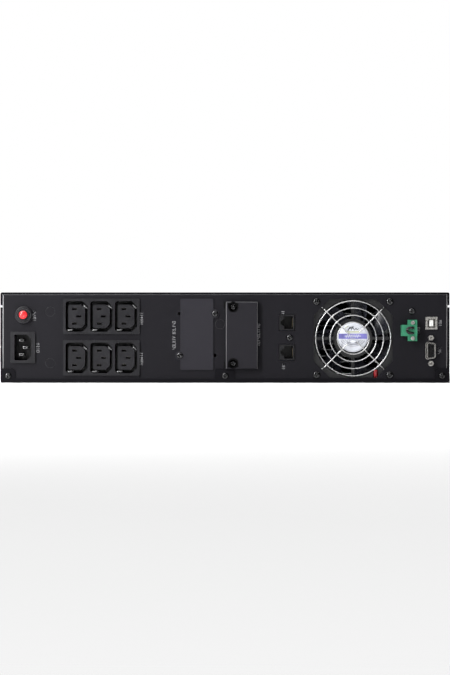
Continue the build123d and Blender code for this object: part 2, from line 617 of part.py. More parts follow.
NETWORK_BOARD_X = (NETWORK[0][0] + 9.2, NETWORK[0][0] + 9.2 + BOARD)
with BuildPart() as network_board:
    block(NETWORK_BOARD_X, (REAR + 2.5, -130.0), (14.0, 74.0))
    for z in (29.7, 58.4):
        block((NETWORK[0][0] + 7.7, NETWORK_BOARD_X[0]), (REAR + 4, REAR + 18), span(z, 12))
    for y, z in ((-172, 22), (-160, 44), (-148, 62)):
        block((NETWORK_BOARD_X[1], NETWORK_BOARD_X[1] + 3), span(y, 10), span(z, 8))
    board_bracket(*BRACKET_SCREWS[0], NETWORK_BOARD_X[0])
network_board.part.label = "network_board"
export_step(network_board.part, "parts/network_board.step")

COMM_BOARD_X = (207.5, 207.5 + BOARD)
with BuildPart() as comm_board:
    block(COMM_BOARD_X, (REAR + 3, -110.0), (12.0, 76.0))
    for y, z in ((-178, 46), (-160, 30), (-140, 58)):
        block((COMM_BOARD_X[0] - 2.5, COMM_BOARD_X[0]), span(y, 12), span(z, 9))
    board_bracket(*BRACKET_SCREWS[1], COMM_BOARD_X[0])
comm_board.part.label = "comm_board"
export_step(comm_board.part, "parts/comm_board.step")

with BuildPart() as usb_shell:
    with BuildSketch(at_depth(REAR + 16)):
        with Locations(USB):
            Rectangle(11.4, 12.1)
    extrude(amount=17.2)
    with BuildSketch(at_depth(REAR + 10)):
        with Locations(USB):
            Rectangle(7.8, 8.6)
    extrude(amount=15, mode=Mode.SUBTRACT)
usb_shell.part.label = "usb_shell"
export_step(usb_shell.part, "parts/usb_shell.step")

with BuildPart() as usb_insert:
    block(span(USB[0] - 0.2, 3.7), (REAR + 0.4, REAR + 10), span(USB[1], 5.9))
    fillet(usb_insert.edges().filter_by(Axis.Y), 0.5)
usb_insert.part.label = "usb_insert"
export_step(usb_insert.part, "parts/usb_insert.step")

FLANGE_SEAT = REAR + PANEL_SHEET + 0.1
with BuildPart() as serial_shell:
    with BuildSketch(at_depth(FLANGE_SEAT + 0.7)):
        with Locations(SERIAL):
            RectangleRounded(12.0, 30.8, 1)
            with GridLocations(0, SERIAL_SCREWS, 1, 2):
                Circle(1.6, mode=Mode.SUBTRACT)
    extrude(amount=0.7)
    # a drawn skirt shows through the panel, with a groove between it and the shell
    with BuildSketch(at_depth(FLANGE_SEAT + 3.5)):
        with Locations(SERIAL):
            add(d_outline(17.6, 9.6, 2.2))
    extrude(amount=FLANGE_SEAT + 3.5 - (REAR - 0.5))
    with BuildSketch(at_depth(FLANGE_SEAT + 3.0)):
        with Locations(SERIAL):
            add(d_outline(16.8, 8.8, 1.9))
    extrude(amount=6, mode=Mode.SUBTRACT)
    with BuildSketch(at_depth(FLANGE_SEAT + 3.5)):
        with Locations(SERIAL):
            add(d_outline(15.5, 7.3, 1.8))
    extrude(amount=FLANGE_SEAT + 3.5 - (REAR - 5.0))
    with BuildSketch(at_depth(FLANGE_SEAT + 5)):
        with Locations(SERIAL):
            add(d_outline(14.7, 6.5, 1.4))
    extrude(amount=14, mode=Mode.SUBTRACT)
serial_shell.part.label = "serial_shell"
export_step(serial_shell.part, "parts/serial_shell.step")

with BuildPart() as serial_insert:
    with BuildSketch(at_depth(REAR + 9)):
        with Locations(SERIAL):
            add(d_outline(14.6, 6.4, 1.35))
    extrude(amount=13.2)
    with BuildSketch(at_depth(REAR + 2)):
        with Locations((SERIAL[0] - 1.42, SERIAL[1])):
            with GridLocations(0, 2.77, 1, 5):
                Circle(0.75)
        with Locations((SERIAL[0] + 1.42, SERIAL[1])):
            with GridLocations(0, 2.77, 1, 4):
                Circle(0.75)
    extrude(amount=10, mode=Mode.SUBTRACT)
    block((SERIAL[0] + 2.5, COMM_BOARD_X[0]), (REAR + 6, REAR + 9), span(SERIAL[1], 11))
serial_insert.part.label = "serial_insert"
export_step(serial_insert.part, "parts/serial_insert.step")

with BuildPart() as serial_jackscrews:
    with BuildSketch(at_depth(REAR)):
        with Locations(SERIAL):
            with GridLocations(0, SERIAL_SCREWS, 1, 2):
                RegularPolygon(2.9, 6)
    extrude(amount=5)
    with BuildSketch(at_depth(REAR + 6)):
        with Locations(SERIAL):
            with GridLocations(0, SERIAL_SCREWS, 1, 2):
                Circle(1.45)
    extrude(amount=6)
    with BuildSketch(at_depth(REAR - 1)):
        with Locations(SERIAL):
            with GridLocations(0, SERIAL_SCREWS, 1, 2):
                Circle(1.3)
    extrude(amount=6, mode=Mode.SUBTRACT)
serial_jackscrews.part.label = "serial_jackscrews"
export_step(serial_jackscrews.part, "parts/serial_jackscrews.step")

STOP_SCREWS = 15.24
STOP_FLANGE_X = (178.0, 186.8)
with BuildPart() as stop_header:
    for x_range, height in STOP_HEADER_STEPS:
        block(x_range, (REAR, REAR + 16), span(STOP[1], height))
    block((175.8, 185.4), (REAR - 1, REAR + 12), span(STOP[1], 9.0), Mode.SUBTRACT)
    for side in (-1, 1):
        rod(STOP[0], STOP[1] + side * STOP_SCREWS / 2, 1.6, (REAR - 1, REAR + 10), Mode.SUBTRACT)
stop_header.part.label = "stop_header"
export_step(stop_header.part, "parts/stop_header.step")

PLUG_SEAT, PLUG_FACE = REAR - 0.2, REAR - 8.6
with BuildPart() as stop_plug:
    block(STOP_FLANGE_X, (PLUG_FACE + 1.2, PLUG_SEAT), span(STOP[1], 20.5))
    block((171.5, STOP_FLANGE_X[1]), (PLUG_FACE, PLUG_SEAT), span(STOP[1], 10.8))
    block((176.3, 184.9), (PLUG_SEAT, REAR + 10.5), span(STOP[1], 8.4))
    for side in (-1, 1):
        screw_z = STOP[1] + side * STOP_SCREWS / 2
        rod(STOP[0], screw_z, 1.7, (PLUG_FACE - 1, REAR + 1), Mode.SUBTRACT)
        wire_z = STOP[1] + side * STOP_WIRES / 2
        rod(STOP[0], wire_z, 1.6, (PLUG_FACE - 1, PLUG_FACE + 6), Mode.SUBTRACT)
        with BuildSketch(at_side(171.5)):
            with Locations((REAR - 4.5, wire_z)):
                Circle(1.6)
        extrude(amount=2.5, mode=Mode.SUBTRACT)
stop_plug.part.label = "stop_plug"
export_step(stop_plug.part, "parts/stop_plug.step")

with BuildPart() as stop_plug_screws:
    for side in (-1, 1):
        z = STOP[1] + side * STOP_SCREWS / 2
        rod(STOP[0], z, 1.3, (PLUG_FACE + 1.2, REAR + 6))
        rod(STOP[0], z, 1.9, (PLUG_FACE - 0.2, PLUG_FACE + 1.2))
        block(span(STOP[0], 5), (PLUG_FACE - 1, PLUG_FACE + 0.5), span(z, 0.7), Mode.SUBTRACT)
stop_plug_screws.part.label = "stop_plug_screws"
export_step(stop_plug_screws.part, "parts/stop_plug_screws.step")

WIRE_RADIUS = 1.25
loop_y = -FRONT + WIRE_RADIUS
wire_z = (STOP[1] + STOP_WIRES / 2, STOP[1] - STOP_WIRES / 2)
with BuildPart() as stop_link_wire:
    with BuildLine() as route:
        FilletPolyline(
            (STOP[0], PLUG_FACE + 6, wire_z[0]),
            (STOP[0], loop_y, wire_z[0]),
            (176.8, loop_y, wire_z[0]),
            (176.8, loop_y, wire_z[1]),
            (STOP[0], loop_y, wire_z[1]),
            (STOP[0], PLUG_FACE + 6, wire_z[1]),
            radius=2.5,
        )
    with BuildSketch(Plane(origin=route.line @ 0, z_dir=route.line % 0)):
        Circle(WIRE_RADIUS)
    sweep(path=route.line)
stop_link_wire.part.label = "stop_link_wire"
export_step(stop_link_wire.part, "parts/stop_link_wire.step")

# ---------------------------------------------------------------------------------------------
# Electronics inside the case
# ---------------------------------------------------------------------------------------------
BOARD_TOP = BOARD_Z + BOARD
with BuildPart() as main_board:
    block(MAIN_BOARD_X, MAIN_BOARD_Y, (BOARD_Z, BOARD_TOP))
    with BuildSketch(Plane.XY.offset(BOARD_Z - 1)):
        with Locations(*STANDOFFS):
            Circle(1.7)
    extrude(amount=4, mode=Mode.SUBTRACT)
main_board.part.label = "main_board"
export_step(main_board.part, "parts/main_board.step")

with BuildPart() as heat_sinks:
    for x in (115.0, 165.0):
        block(span(x, 4), (-110.0, 60.0), (BOARD_TOP, 70.0))
        for number in range(9):
            block(span(x, 34), (-110.0, 60.0), span(19.0 + 6.2 * number, 1.4))
heat_sinks.part.label = "heat_sinks"
export_step(heat_sinks.part, "parts/heat_sinks.step")

with BuildPart() as bulk_capacitors:
    with BuildSketch(Plane.XY.offset(BOARD_TOP)):
        with Locations((65, -62)):
            with GridLocations(33, 36, 2, 4):
                Circle(15)
    extrude(amount=45)
    fillet(bulk_capacitors.edges().filter_by(GeomType.CIRCLE).group_by(Axis.Z)[-1], 1.5)
bulk_capacitors.part.label = "bulk_capacitors"
export_step(bulk_capacitors.part, "parts/bulk_capacitors.step")

with BuildPart() as transformer:
    with Locations((0, 40, BOARD_TOP + 26)):
        Box(56, 18, 52)
    block((-21, 21), (18, 62), (BOARD_TOP + 8, BOARD_TOP + 44))
transformer.part.label = "transformer"
export_step(transformer.part, "parts/transformer.step")

with BuildPart() as filter_board:
    block((-212.0, -52.0), (-183.0, -151.0), (BOARD_Z, BOARD_TOP))
    for x in (-190, -150):
        block(span(x, 26), span(-163, 12), (BOARD_TOP, BOARD_TOP + 18))
    with Locations((-98, -164, BOARD_TOP + 5.5)):
        Torus(9, 5.6)
    for x in (-206, -58):
        for y in (-178, -156):
            with Locations((x, y, (BOARD_Z + SHEET) / 2)):
                Cylinder(3, BOARD_Z - SHEET)
filter_board.part.label = "filter_board"
export_step(filter_board.part, "parts/filter_board.step")

# ---------------------------------------------------------------------------------------------
# Battery drawer
# ---------------------------------------------------------------------------------------------
PLUG_X, PLUG_Z = sum(POWER_PLUG_X) / 2, sum(POWER_PLUG_Z) / 2
with BuildPart() as battery_socket:
    block(span(PLUG_X, 40), (BAY_REAR - 28, BAY_REAR - PANEL_SHEET), span(PLUG_Z, 36))
    block(span(PLUG_X, 30), (BAY_REAR - 22, BAY_REAR), span(PLUG_Z, 25), Mode.SUBTRACT)
battery_socket.part.label = "battery_socket"
export_step(battery_socket.part, "parts/battery_socket.step")

with BuildPart() as drawer_runners:
    for x in (-208.0, -55.0):
        block(span(x, 8), (TRAY_Y[0] + 2, 186.0), (SHEET, TRAY_Z[0] - 0.3))
drawer_runners.part.label = "drawer_runners"
export_step(drawer_runners.part, "parts/drawer_runners.step")

with BuildPart() as battery_tray:
    block(TRAY_X, TRAY_Y, TRAY_Z)
    offset(amount=-PANEL_SHEET, openings=battery_tray.faces().sort_by(Axis.Z)[-1])
    with BuildSketch(at_depth(TRAY_Y[0] + 3)):
        with Locations((PLUG_X, PLUG_Z)):
            Rectangle(POWER_PLUG_X[1] - POWER_PLUG_X[0] + 0.6, 24.6)
    extrude(amount=6, mode=Mode.SUBTRACT)
battery_tray.part.label = "battery_tray"
export_step(battery_tray.part, "parts/battery_tray.step")

BATTERY_YS = [BATTERY_Y + BATTERY_PITCH * step for step in (-1, 0, 1)]
BATTERY_Z = (TRAY_Z[0] + PANEL_SHEET, TRAY_Z[0] + PANEL_SHEET + BATTERY[2])
with BuildPart() as batteries:
    for y in BATTERY_YS:
        block(span(BATTERY_X, BATTERY[0]), span(y, BATTERY[1]), BATTERY_Z)
    fillet(batteries.edges().filter_by(Axis.Y), 2)
batteries.part.label = "batteries"
export_step(batteries.part, "parts/batteries.step")

with BuildPart() as battery_terminals:
    for y in BATTERY_YS:
        for side in (-1, 1):
            face = y - BATTERY[1] / 2
            x = BATTERY_X + side * TERMINAL_X
            block(span(x, 0.8), (face - 5.2, face), span(TERMINAL_Z, 6.3))
battery_terminals.part.label = "battery_terminals"
export_step(battery_terminals.part, "parts/battery_terminals.step")

with BuildPart() as drawer_plug:
    block(POWER_PLUG_X, (TRAY_Y[0] - 11, TRAY_Y[0] + 6.5), POWER_PLUG_Z)
    for x in (PLUG_X - 7, PLUG_X + 7):
        block(span(x, 9), (TRAY_Y[0] - 12, TRAY_Y[0] - 3), span(PLUG_Z, 13), Mode.SUBTRACT)
drawer_plug.part.label = "drawer_plug"
export_step(drawer_plug.part, "parts/drawer_plug.step")

LEAD_RADIUS, LEAD_Z = 1.5, 29.0
with BuildPart() as battery_leads:
    for side in (-1, 1):
        side_x = BATTERY_X + side * (BATTERY[0] / 2 + 2.6)
        terminal_x = BATTERY_X + side * TERMINAL_X
        terminal_y = BATTERY_YS[2] - BATTERY[1] / 2 - 2.9
        plug_face = POWER_PLUG_X[0] if side < 0 else POWER_PLUG_X[1]
        rear_y = TRAY_Y[0] + PANEL_SHEET + 3.4
        with BuildLine() as route:
            FilletPolyline(
                (terminal_x + side * 1.7, terminal_y, LEAD_Z),
                (side_x, terminal_y, LEAD_Z),
                (side_x, rear_y, LEAD_Z),
                (plug_face, rear_y, LEAD_Z),
                radius=4,
            )
        with BuildSketch(Plane(origin=route.line @ 0, z_dir=route.line % 0)):
            Circle(LEAD_RADIUS)
        sweep(path=route.line)
        block(span(terminal_x, 3.4), span(terminal_y, 5), (LEAD_Z - 2, TERMINAL_Z + 4))
        tab = (terminal_y - 3, terminal_y + 3)
        block(span(terminal_x, 1.2), tab, span(TERMINAL_Z, 6.7), Mode.SUBTRACT)
battery_leads.part.label = "battery_leads"
export_step(battery_leads.part, "parts/battery_leads.step")

DRAWER_X, FASCIA_Z, WALL = (-217.0, -46.2), (1.6, 86.4), 2.5
GRIP_X, GRIP_Z, GRIP_FLOOR = (-166.5, -96.5), (22.0, 50.0), BEZEL - 16
with BuildPart() as drawer_front:
    block(DRAWER_X, (FRAME, BEZEL), FASCIA_Z)
    fillet(drawer_front.faces().sort_by(Axis.Y)[-1].edges(), 3)
    inner = (DRAWER_X[0] + WALL, DRAWER_X[1] - WALL)
    block(inner, (FRAME - 1, BEZEL - WALL), (FASCIA_Z[0] + WALL, FASCIA_Z[1] - WALL), Mode.SUBTRACT)
    block(
        (GRIP_X[0] - WALL, GRIP_X[1] + WALL),
        (GRIP_FLOOR - WALL, BEZEL - 1),
        (GRIP_Z[0] - WALL, GRIP_Z[1] + WALL),
    )
    block(GRIP_X, (GRIP_FLOOR, BEZEL + 1), GRIP_Z, Mode.SUBTRACT)
    # the tray is bolted to two bosses behind the lower edge, screws to tubes behind the upper
    block((-205.0, -190.0), (FRAME, BEZEL - 1), (FASCIA_Z[0] + 1, 14.0))
    block((-73.0, -58.0), (FRAME, BEZEL - 1), (FASCIA_Z[0] + 1, 14.0))
    for x, z in THUMBSCREWS:
        rod(x, z, 4.2, (FRAME, BEZEL - 1))
        rod(x, z, 2.2, (FRAME - 1, BEZEL + 1), Mode.SUBTRACT)
drawer_front.part.label = "drawer_front"
export_step(drawer_front.part, "parts/drawer_front.step")

with BuildPart() as drawer_thumbscrews:
    for x, z in THUMBSCREWS:
        rod(x, z, 4.2, (BEZEL, FRONT))
        rod(x, z, 1.9, (FRAME - 5, BEZEL))
        block(span(x, 6), (FRONT - 1, FRONT + 1), span(z, 0.9), Mode.SUBTRACT)
drawer_thumbscrews.part.label = "drawer_thumbscrews"
export_step(drawer_thumbscrews.part, "parts/drawer_thumbscrews.step")

# ---------------------------------------------------------------------------------------------
# Front bezel and display
# ---------------------------------------------------------------------------------------------
BEZEL_X = (-45.4, 217.0)
with BuildPart() as front_bezel:
    block(BEZEL_X, (FRAME, BEZEL), FASCIA_Z)
    fillet(front_bezel.faces().sort_by(Axis.Y)[-1].edges(), 3)
    inner = (BEZEL_X[0] + WALL, BEZEL_X[1] - WALL)
    block(inner, (FRAME - 1, BEZEL - WALL), (FASCIA_Z[0] + WALL, FASCIA_Z[1] - WALL), Mode.SUBTRACT)
    rod(*POD, POCKET_RADIUS + 2, (POCKET_FLOOR - 2, BEZEL - 1))
    rod(*POD, POCKET_RADIUS, (POCKET_FLOOR, BEZEL + 1), Mode.SUBTRACT)
    rod(*POD, TRUNNION + 0.05, (FRAME - 1, BEZEL), Mode.SUBTRACT)
    with BuildSketch(at_depth(BEZEL + 1)):
        with Locations((130, 44)):
            with GridLocations(52, 8, 3, 8):
                SlotOverall(48, 4.4)
    extrude(amount=WALL + 3, mode=Mode.SUBTRACT)
front_bezel.part.label = "front_bezel"
export_step(front_bezel.part, "parts/front_bezel.step")

with BuildPart() as air_filter:
    block((51.0, 209.0), (FRAME + 2, FRAME + 8), (9.0, 79.0))
    block((52.0, 208.0), (FRAME, FRAME + 2), (10.0, 12.0))
    block((52.0, 208.0), (FRAME, FRAME + 2), (76.0, 78.0))
air_filter.part.label = "air_filter"
export_step(air_filter.part, "parts/air_filter.step")

POD_SPLIT = 204.0
with BuildPart() as pod_back:
    rod(*POD, POD_RADIUS, (POCKET_FLOOR + 0.4, POD_SPLIT))
    rod(*POD, POD_RADIUS - 2, (POCKET_FLOOR + 2.4, POD_SPLIT + 1), Mode.SUBTRACT)
    rod(*POD, TRUNNION, (FRAME + 1, POCKET_FLOOR + 2.4))
    # a snap lip behind the pocket's floor keeps the pod in
    rod(*POD, TRUNNION + 0.8, (POCKET_FLOOR - 4.2, POCKET_FLOOR - 2.4))
    rod(*POD, TRUNNION - 2, (FRAME, POD_SPLIT), Mode.SUBTRACT)
pod_back.part.label = "pod_back"
export_step(pod_back.part, "parts/pod_back.step")

POD_WALL = 2.0
with BuildPart() as display_pod:
    rod(*POD, POD_RADIUS, (POD_SPLIT, POD_FACE))
    fillet(display_pod.edges().filter_by(GeomType.CIRCLE).sort_by(Axis.Y)[-1], 1.5)
    rod(*POD, POD_RADIUS - 2, (POD_SPLIT - 1, POD_FACE - POD_WALL), Mode.SUBTRACT)
    with BuildSketch(at_depth(POD_FACE + 1)):
        with Locations((POD[0], WINDOW_Z)):
            RectangleRounded(*WINDOW, 2)
        with Locations(*[(x, BUTTON_Z) for x in BUTTON_X]):
            Circle(BUTTON_RADIUS + 0.4)
        with Locations((POD[0], 68)):
            with GridLocations(7, 0, 4, 1):
                Circle(1.25)
    extrude(amount=POD_WALL + 2, mode=Mode.SUBTRACT)
display_pod.part.label = "display_pod"
export_step(display_pod.part, "parts/display_pod.step")

with BuildPart() as display_window:
    with BuildSketch(at_depth(POD_FACE - 0.1)):
        with Locations((POD[0], WINDOW_Z)):
            RectangleRounded(WINDOW[0] - 0.2, WINDOW[1] - 0.2, 1.9)
    extrude(amount=POD_WALL - 0.3)
display_window.part.label = "display_window"
export_step(display_window.part, "parts/display_window.step")

CONTROL_BOARD_Y = (206.0, 207.6)
with BuildPart() as lcd_panel:
    screen = (span(POD[0], 50), (CONTROL_BOARD_Y[1], POD_FACE - POD_WALL - 0.1), span(WINDOW_Z, 26))
    block(*screen)
lcd_panel.part.label = "lcd_panel"
export_step(lcd_panel.part, "parts/lcd_panel.step")

with BuildPart() as control_board:
    rod(*POD, POD_RADIUS - 2.4, CONTROL_BOARD_Y)
    for angle in (0, 90, 180, 270):
        x = POD[0] + 31 * math.cos(math.radians(angle + 45))
        z = POD[1] + 31 * math.sin(math.radians(angle + 45))
        rod(x, z, 2.4, (POCKET_FLOOR + 2.4, CONTROL_BOARD_Y[0]))
control_board.part.label = "control_board"
export_step(control_board.part, "parts/control_board.step")

for name, x in zip(("button_on", "button_off", "button_select"), BUTTON_X):
    with BuildPart() as button:
        rod(x, BUTTON_Z, BUTTON_RADIUS, (POD_FACE - POD_WALL - 1.4, FRONT))
        fillet(button.edges().filter_by(GeomType.CIRCLE).sort_by(Axis.Y)[-1], 0.8)
        rod(x, BUTTON_Z, BUTTON_RADIUS + 1.2, (POD_FACE - POD_WALL - 1.4, POD_FACE - POD_WALL - 0.3))
        rod(x, BUTTON_Z, 1.8, (CONTROL_BOARD_Y[1] + 1.6, POD_FACE - POD_WALL - 1.4))
    button.part.label = name
    export_step(button.part, f"parts/{name}.step")

with BuildPart() as status_lights:
    for number in range(4):
        x = POD[0] + 7 * (number - 1.5)
        rod(x, 68, 1.15, (CONTROL_BOARD_Y[1], POD_FACE + 0.3))
status_lights.part.label = "status_lights"
export_step(status_lights.part, "parts/status_lights.step")
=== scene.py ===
import bpy
import bmesh
import math
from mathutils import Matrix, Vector


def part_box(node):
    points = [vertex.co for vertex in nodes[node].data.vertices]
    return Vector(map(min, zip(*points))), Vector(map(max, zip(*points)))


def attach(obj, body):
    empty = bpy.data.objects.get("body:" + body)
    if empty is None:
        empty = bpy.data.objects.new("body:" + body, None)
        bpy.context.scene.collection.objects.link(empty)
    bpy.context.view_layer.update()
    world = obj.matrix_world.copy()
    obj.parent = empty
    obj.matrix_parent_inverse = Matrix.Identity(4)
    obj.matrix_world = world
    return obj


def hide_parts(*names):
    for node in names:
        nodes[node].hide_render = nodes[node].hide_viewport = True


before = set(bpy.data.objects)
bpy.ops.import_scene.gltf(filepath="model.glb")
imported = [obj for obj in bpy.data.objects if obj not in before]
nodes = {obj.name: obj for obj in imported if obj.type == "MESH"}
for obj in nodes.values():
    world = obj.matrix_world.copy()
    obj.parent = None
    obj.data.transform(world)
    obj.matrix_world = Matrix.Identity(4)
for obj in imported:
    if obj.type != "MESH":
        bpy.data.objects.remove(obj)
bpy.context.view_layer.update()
MM = 0.001


# ------------------------------------------------------------------ places taken from the frame
def middle(node):
    """The middle of a node's box, in metres."""
    low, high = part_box(node)
    return (low + high) / 2


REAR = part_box("rear_panel")[0].y  # the rear panel's outer face, in metres
rear_mm = REAR / MM
fan = Vector((middle("fan_frame").x / MM, 0, middle("fan_frame").z / MM))
pod = middle("display_pod") / MM


# ------------------------------------------------------------------ materials
class Shader:
    """A node tree with a Principled shader, and short ways to add to it."""

    def __init__(self, name, colour, roughness, metallic=0.0, specular=0.5):
        self.material = bpy.data.materials.new(name)
        self.material.use_nodes = True
        self.tree = self.material.node_tree
        self.shader = self.tree.nodes["Principled BSDF"]
        self.set(self.shader, "Base Color", (*colour, 1.0))
        self.set(self.shader, "Roughness", roughness)
        self.set(self.shader, "Metallic", metallic)
        self.set(self.shader, "Specular IOR Level", specular)
        self.place = self.node("ShaderNodeTexCoord").outputs["Object"]

    def node(self, kind, **settings):
        made = self.tree.nodes.new(kind)
        for name, value in settings.items():
            setattr(made, name, value)
        return made

    def set(self, node, socket, value):
        if isinstance(value, bpy.types.NodeSocket):
            self.tree.links.new(value, node.inputs[socket])
        else:
            node.inputs[socket].default_value = value

    def noise(self, scale, detail=3.0, stretch=None):
        made = self.node("ShaderNodeTexNoise")
        self.set(made, "Scale", scale)
        self.set(made, "Detail", detail)
        place = self.place
        if stretch:
            mapping = self.node("ShaderNodeMapping")
            self.set(mapping, "Vector", self.place)
            self.set(mapping, "Scale", stretch)
            place = mapping.outputs["Vector"]
        self.set(made, "Vector", place)
        return made.outputs["Fac"]

    def spread(self, value, low, high, start=0.35, end=0.65):
        made = self.node("ShaderNodeMapRange")
        self.set(made, "Value", value)
        ends = {"From Min": start, "From Max": end, "To Min": low, "To Max": high}
        for socket, number in ends.items():
            self.set(made, socket, number)
        return made.outputs["Result"]

    def mix(self, factor, first, second):
        made = self.node("ShaderNodeMix", data_type="RGBA")
        self.set(made, "Factor", factor)
        colours = [s for s in made.inputs if s.type == "RGBA"]
        for socket, colour in zip(colours, (first, second)):
            if isinstance(colour, bpy.types.NodeSocket):
                self.tree.links.new(colour, socket)
            else:
                socket.default_value = (*colour, 1.0)
        return next(s for s in made.outputs if s.type == "RGBA")

    def math(self, operation, first, second=0.0):
        made = self.node("ShaderNodeMath", operation=operation)
        self.set(made, 0, first)
        self.set(made, 1, second)
        return made.outputs[0]

    def bump(self, height, strength, distance, under=None):
        made = self.node("ShaderNodeBump")
        self.set(made, "Height", height)
        self.set(made, "Strength", strength)
        self.set(made, "Distance", distance)
        if under:
            self.tree.links.new(under, made.inputs["Normal"])
        self.set(self.shader, "Normal", made.outputs["Normal"])
        return made.outputs["Normal"]


def paint_bend_highlights(s, tone, side, top, start=0.3, end=0.47):
    """Painted highlight: lighter paint where a folded sheet turns between facing the rear and
    sideways or up.
    """
    normal = s.node("ShaderNodeSeparateXYZ")
    s.set(normal, 0, s.node("ShaderNodeTexCoord").outputs["Normal"])
    facing = s.math("ABSOLUTE", normal.outputs["Y"])
    sideways = s.math("ABSOLUTE", normal.outputs["X"])
    for turned_away, colour in ((sideways, side), (normal.outputs["Z"], top)):
        turn = s.math("MULTIPLY", turned_away, facing)
        tone = s.mix(s.spread(turn, 0.0, 1.0, start, end), tone, colour)
    return tone


def paint_depth_shade(s, tone, start, end, left=0.12):
    """Painted shade: a darker tone from one depth along Y to another, in millimetres, inside a
    recess.
    """
    place = s.node("ShaderNodeSeparateXYZ")
    s.set(place, 0, s.place)
    depth = s.spread(place.outputs["Y"], 0.0, 1.0, start * MM, end * MM)
    return s.mix(depth, tone, s.mix(left, (0.0, 0.0, 0.0), tone))


def shade(colour, factor):
    """A colour made lighter or darker."""
    return tuple(min(1.0, c * factor) for c in colour)


def finish_of(name, colour, roughness, metallic=0.0, specular=0.5, cloud=30.0, vary=0.12,
              grain=1400.0, depth=0.02, strength=0.35, coat=0.0, stretch=None, bend_highlights=None,
              depth_shade=None, rough_vary=0.12):
    """A finish with soft clouds of tone and roughness, and a grain in its bump, with painted bend
    highlights and painted depth shade if given.
    """
    s = Shader(name, colour, roughness, metallic, specular)
    clouds = s.spread(s.noise(cloud, 4.0), 0.0, 1.0)
    tone = s.mix(clouds, shade(colour, 1 - vary), shade(colour, 1 + vary))
    if bend_highlights:
        tone = paint_bend_highlights(s, tone, *bend_highlights)
    if depth_shade:
        tone = paint_depth_shade(s, tone, *depth_shade)
    s.set(s.shader, "Base Color", tone)
    rough_noise = s.noise(cloud * 3, 5.0, stretch)
    low, high = roughness * (1 - rough_vary), min(1.0, roughness * (1 + rough_vary))
    s.set(s.shader, "Roughness", s.spread(rough_noise, low, high))
    s.bump(s.noise(grain, 4.0, stretch), strength, depth * MM)
    if coat:
        s.set(s.shader, "Coat Weight", coat)
        s.set(s.shader, "Coat Roughness", 0.08)
    return s.material


# Paint on the folded sheets, with painted highlights on the bends and rounded edges, and painted
# shade in the wells of the cover.
POWDER = (0.0096, 0.0091, 0.0116)
POWDER_GRAIN = {"vary": 0.03, "grain": 1500, "depth": 0.03, "strength": 0.45}
paint = finish_of("powder_coat", POWDER, 0.5, specular=0.1, cloud=9, rough_vary=0.03,
                  bend_highlights=((0.4, 0.4, 0.41), (0.1, 0.1, 0.105)), **POWDER_GRAIN)
# The case paint is darker as painted shade on the tray's lip and the cover's rear edge.
shaded_case_paint = finish_of("powder_coat_case_painted_shade", shade(POWDER, 0.68), 0.45, specular=0.05, cloud=9,
                       rough_vary=0.02, **POWDER_GRAIN)
cover_paint = finish_of("powder_coat_cover", shade(POWDER, 2.0), 0.5, specular=0.16, cloud=12,
                        **POWDER_GRAIN)
jack_paint = finish_of("powder_coat_jack_cover", shade(POWDER, 1.35), 0.5, specular=0.14,
                       cloud=12, bend_highlights=((0.22, 0.22, 0.23), (0.12, 0.12, 0.125), 0.43, 0.495),
                       depth_shade=(rear_mm - 6.4, rear_mm - 4.0), **POWDER_GRAIN)
# Lighter finishes for rounded edges: painted highlight along the edges of paint and plastic.
edge_highlight_paint = finish_of("powder_coat_edge_painted_highlight", (0.03, 0.03, 0.033), 0.38, specular=0.4,
                       cloud=150, vary=0.3, grain=1500, depth=0.02)
edge_highlight_plastic = finish_of("plastic_edge_painted_highlight", (0.085, 0.085, 0.09), 0.28, specular=0.5,
                         cloud=150, vary=0.25, grain=1500, depth=0.01)
# Metals.
black_screw = finish_of("blackened_steel", (0.06, 0.06, 0.062), 0.15, metallic=1.0, cloud=400,
                        vary=0.2, grain=3000, depth=0.004)
zinc = finish_of("zinc_plated_steel", (0.34, 0.34, 0.33), 0.4, metallic=1.0, cloud=60, vary=0.06,
                 grain=2500, depth=0.008, rough_vary=0.05, stretch=(1.0, 6.0, 1.0))
nickel = finish_of("nickel_plate", (0.52, 0.505, 0.48), 0.28, metallic=0.8, cloud=200, vary=0.1,
                   grain=2500, depth=0.01)
# The inlet's pins: faces near black as painted shade deep in the inlet, and light rounded edges as
# painted highlight.
shaded_pin_nickel = finish_of("pin_nickel_painted_shade", (0.05, 0.05, 0.052), 0.35, metallic=1.0, cloud=200,
                        vary=0.15, grain=2500, depth=0.01)
pin_edge_highlight = finish_of("pin_edge_painted_highlight", (0.9, 0.9, 0.9), 0.3, metallic=0.5, cloud=200, vary=0.08,
                     grain=2500, depth=0.01)
wire_steel = finish_of("bright_guard_wire", (0.62, 0.62, 0.62), 0.3, metallic=1.0, cloud=220,
                       vary=0.1, grain=1800, depth=0.01)
tarnished = finish_of("tarnished_contact", (0.2, 0.17, 0.11), 0.4, metallic=0.9, cloud=300,
                      vary=0.2, grain=2500)
brass = finish_of("brass_contact", (0.62, 0.47, 0.2), 0.3, metallic=1.0, cloud=300, vary=0.15,
                  grain=2500)
dull_contact = finish_of("tinned_contact", (0.1, 0.095, 0.085), 0.4, metallic=1.0, cloud=300,
                         vary=0.2, grain=2500)
aluminium = finish_of("extruded_aluminium", (0.6, 0.61, 0.62), 0.38, metallic=1.0, cloud=40,
                      grain=1500, stretch=(8.0, 0.3, 8.0))
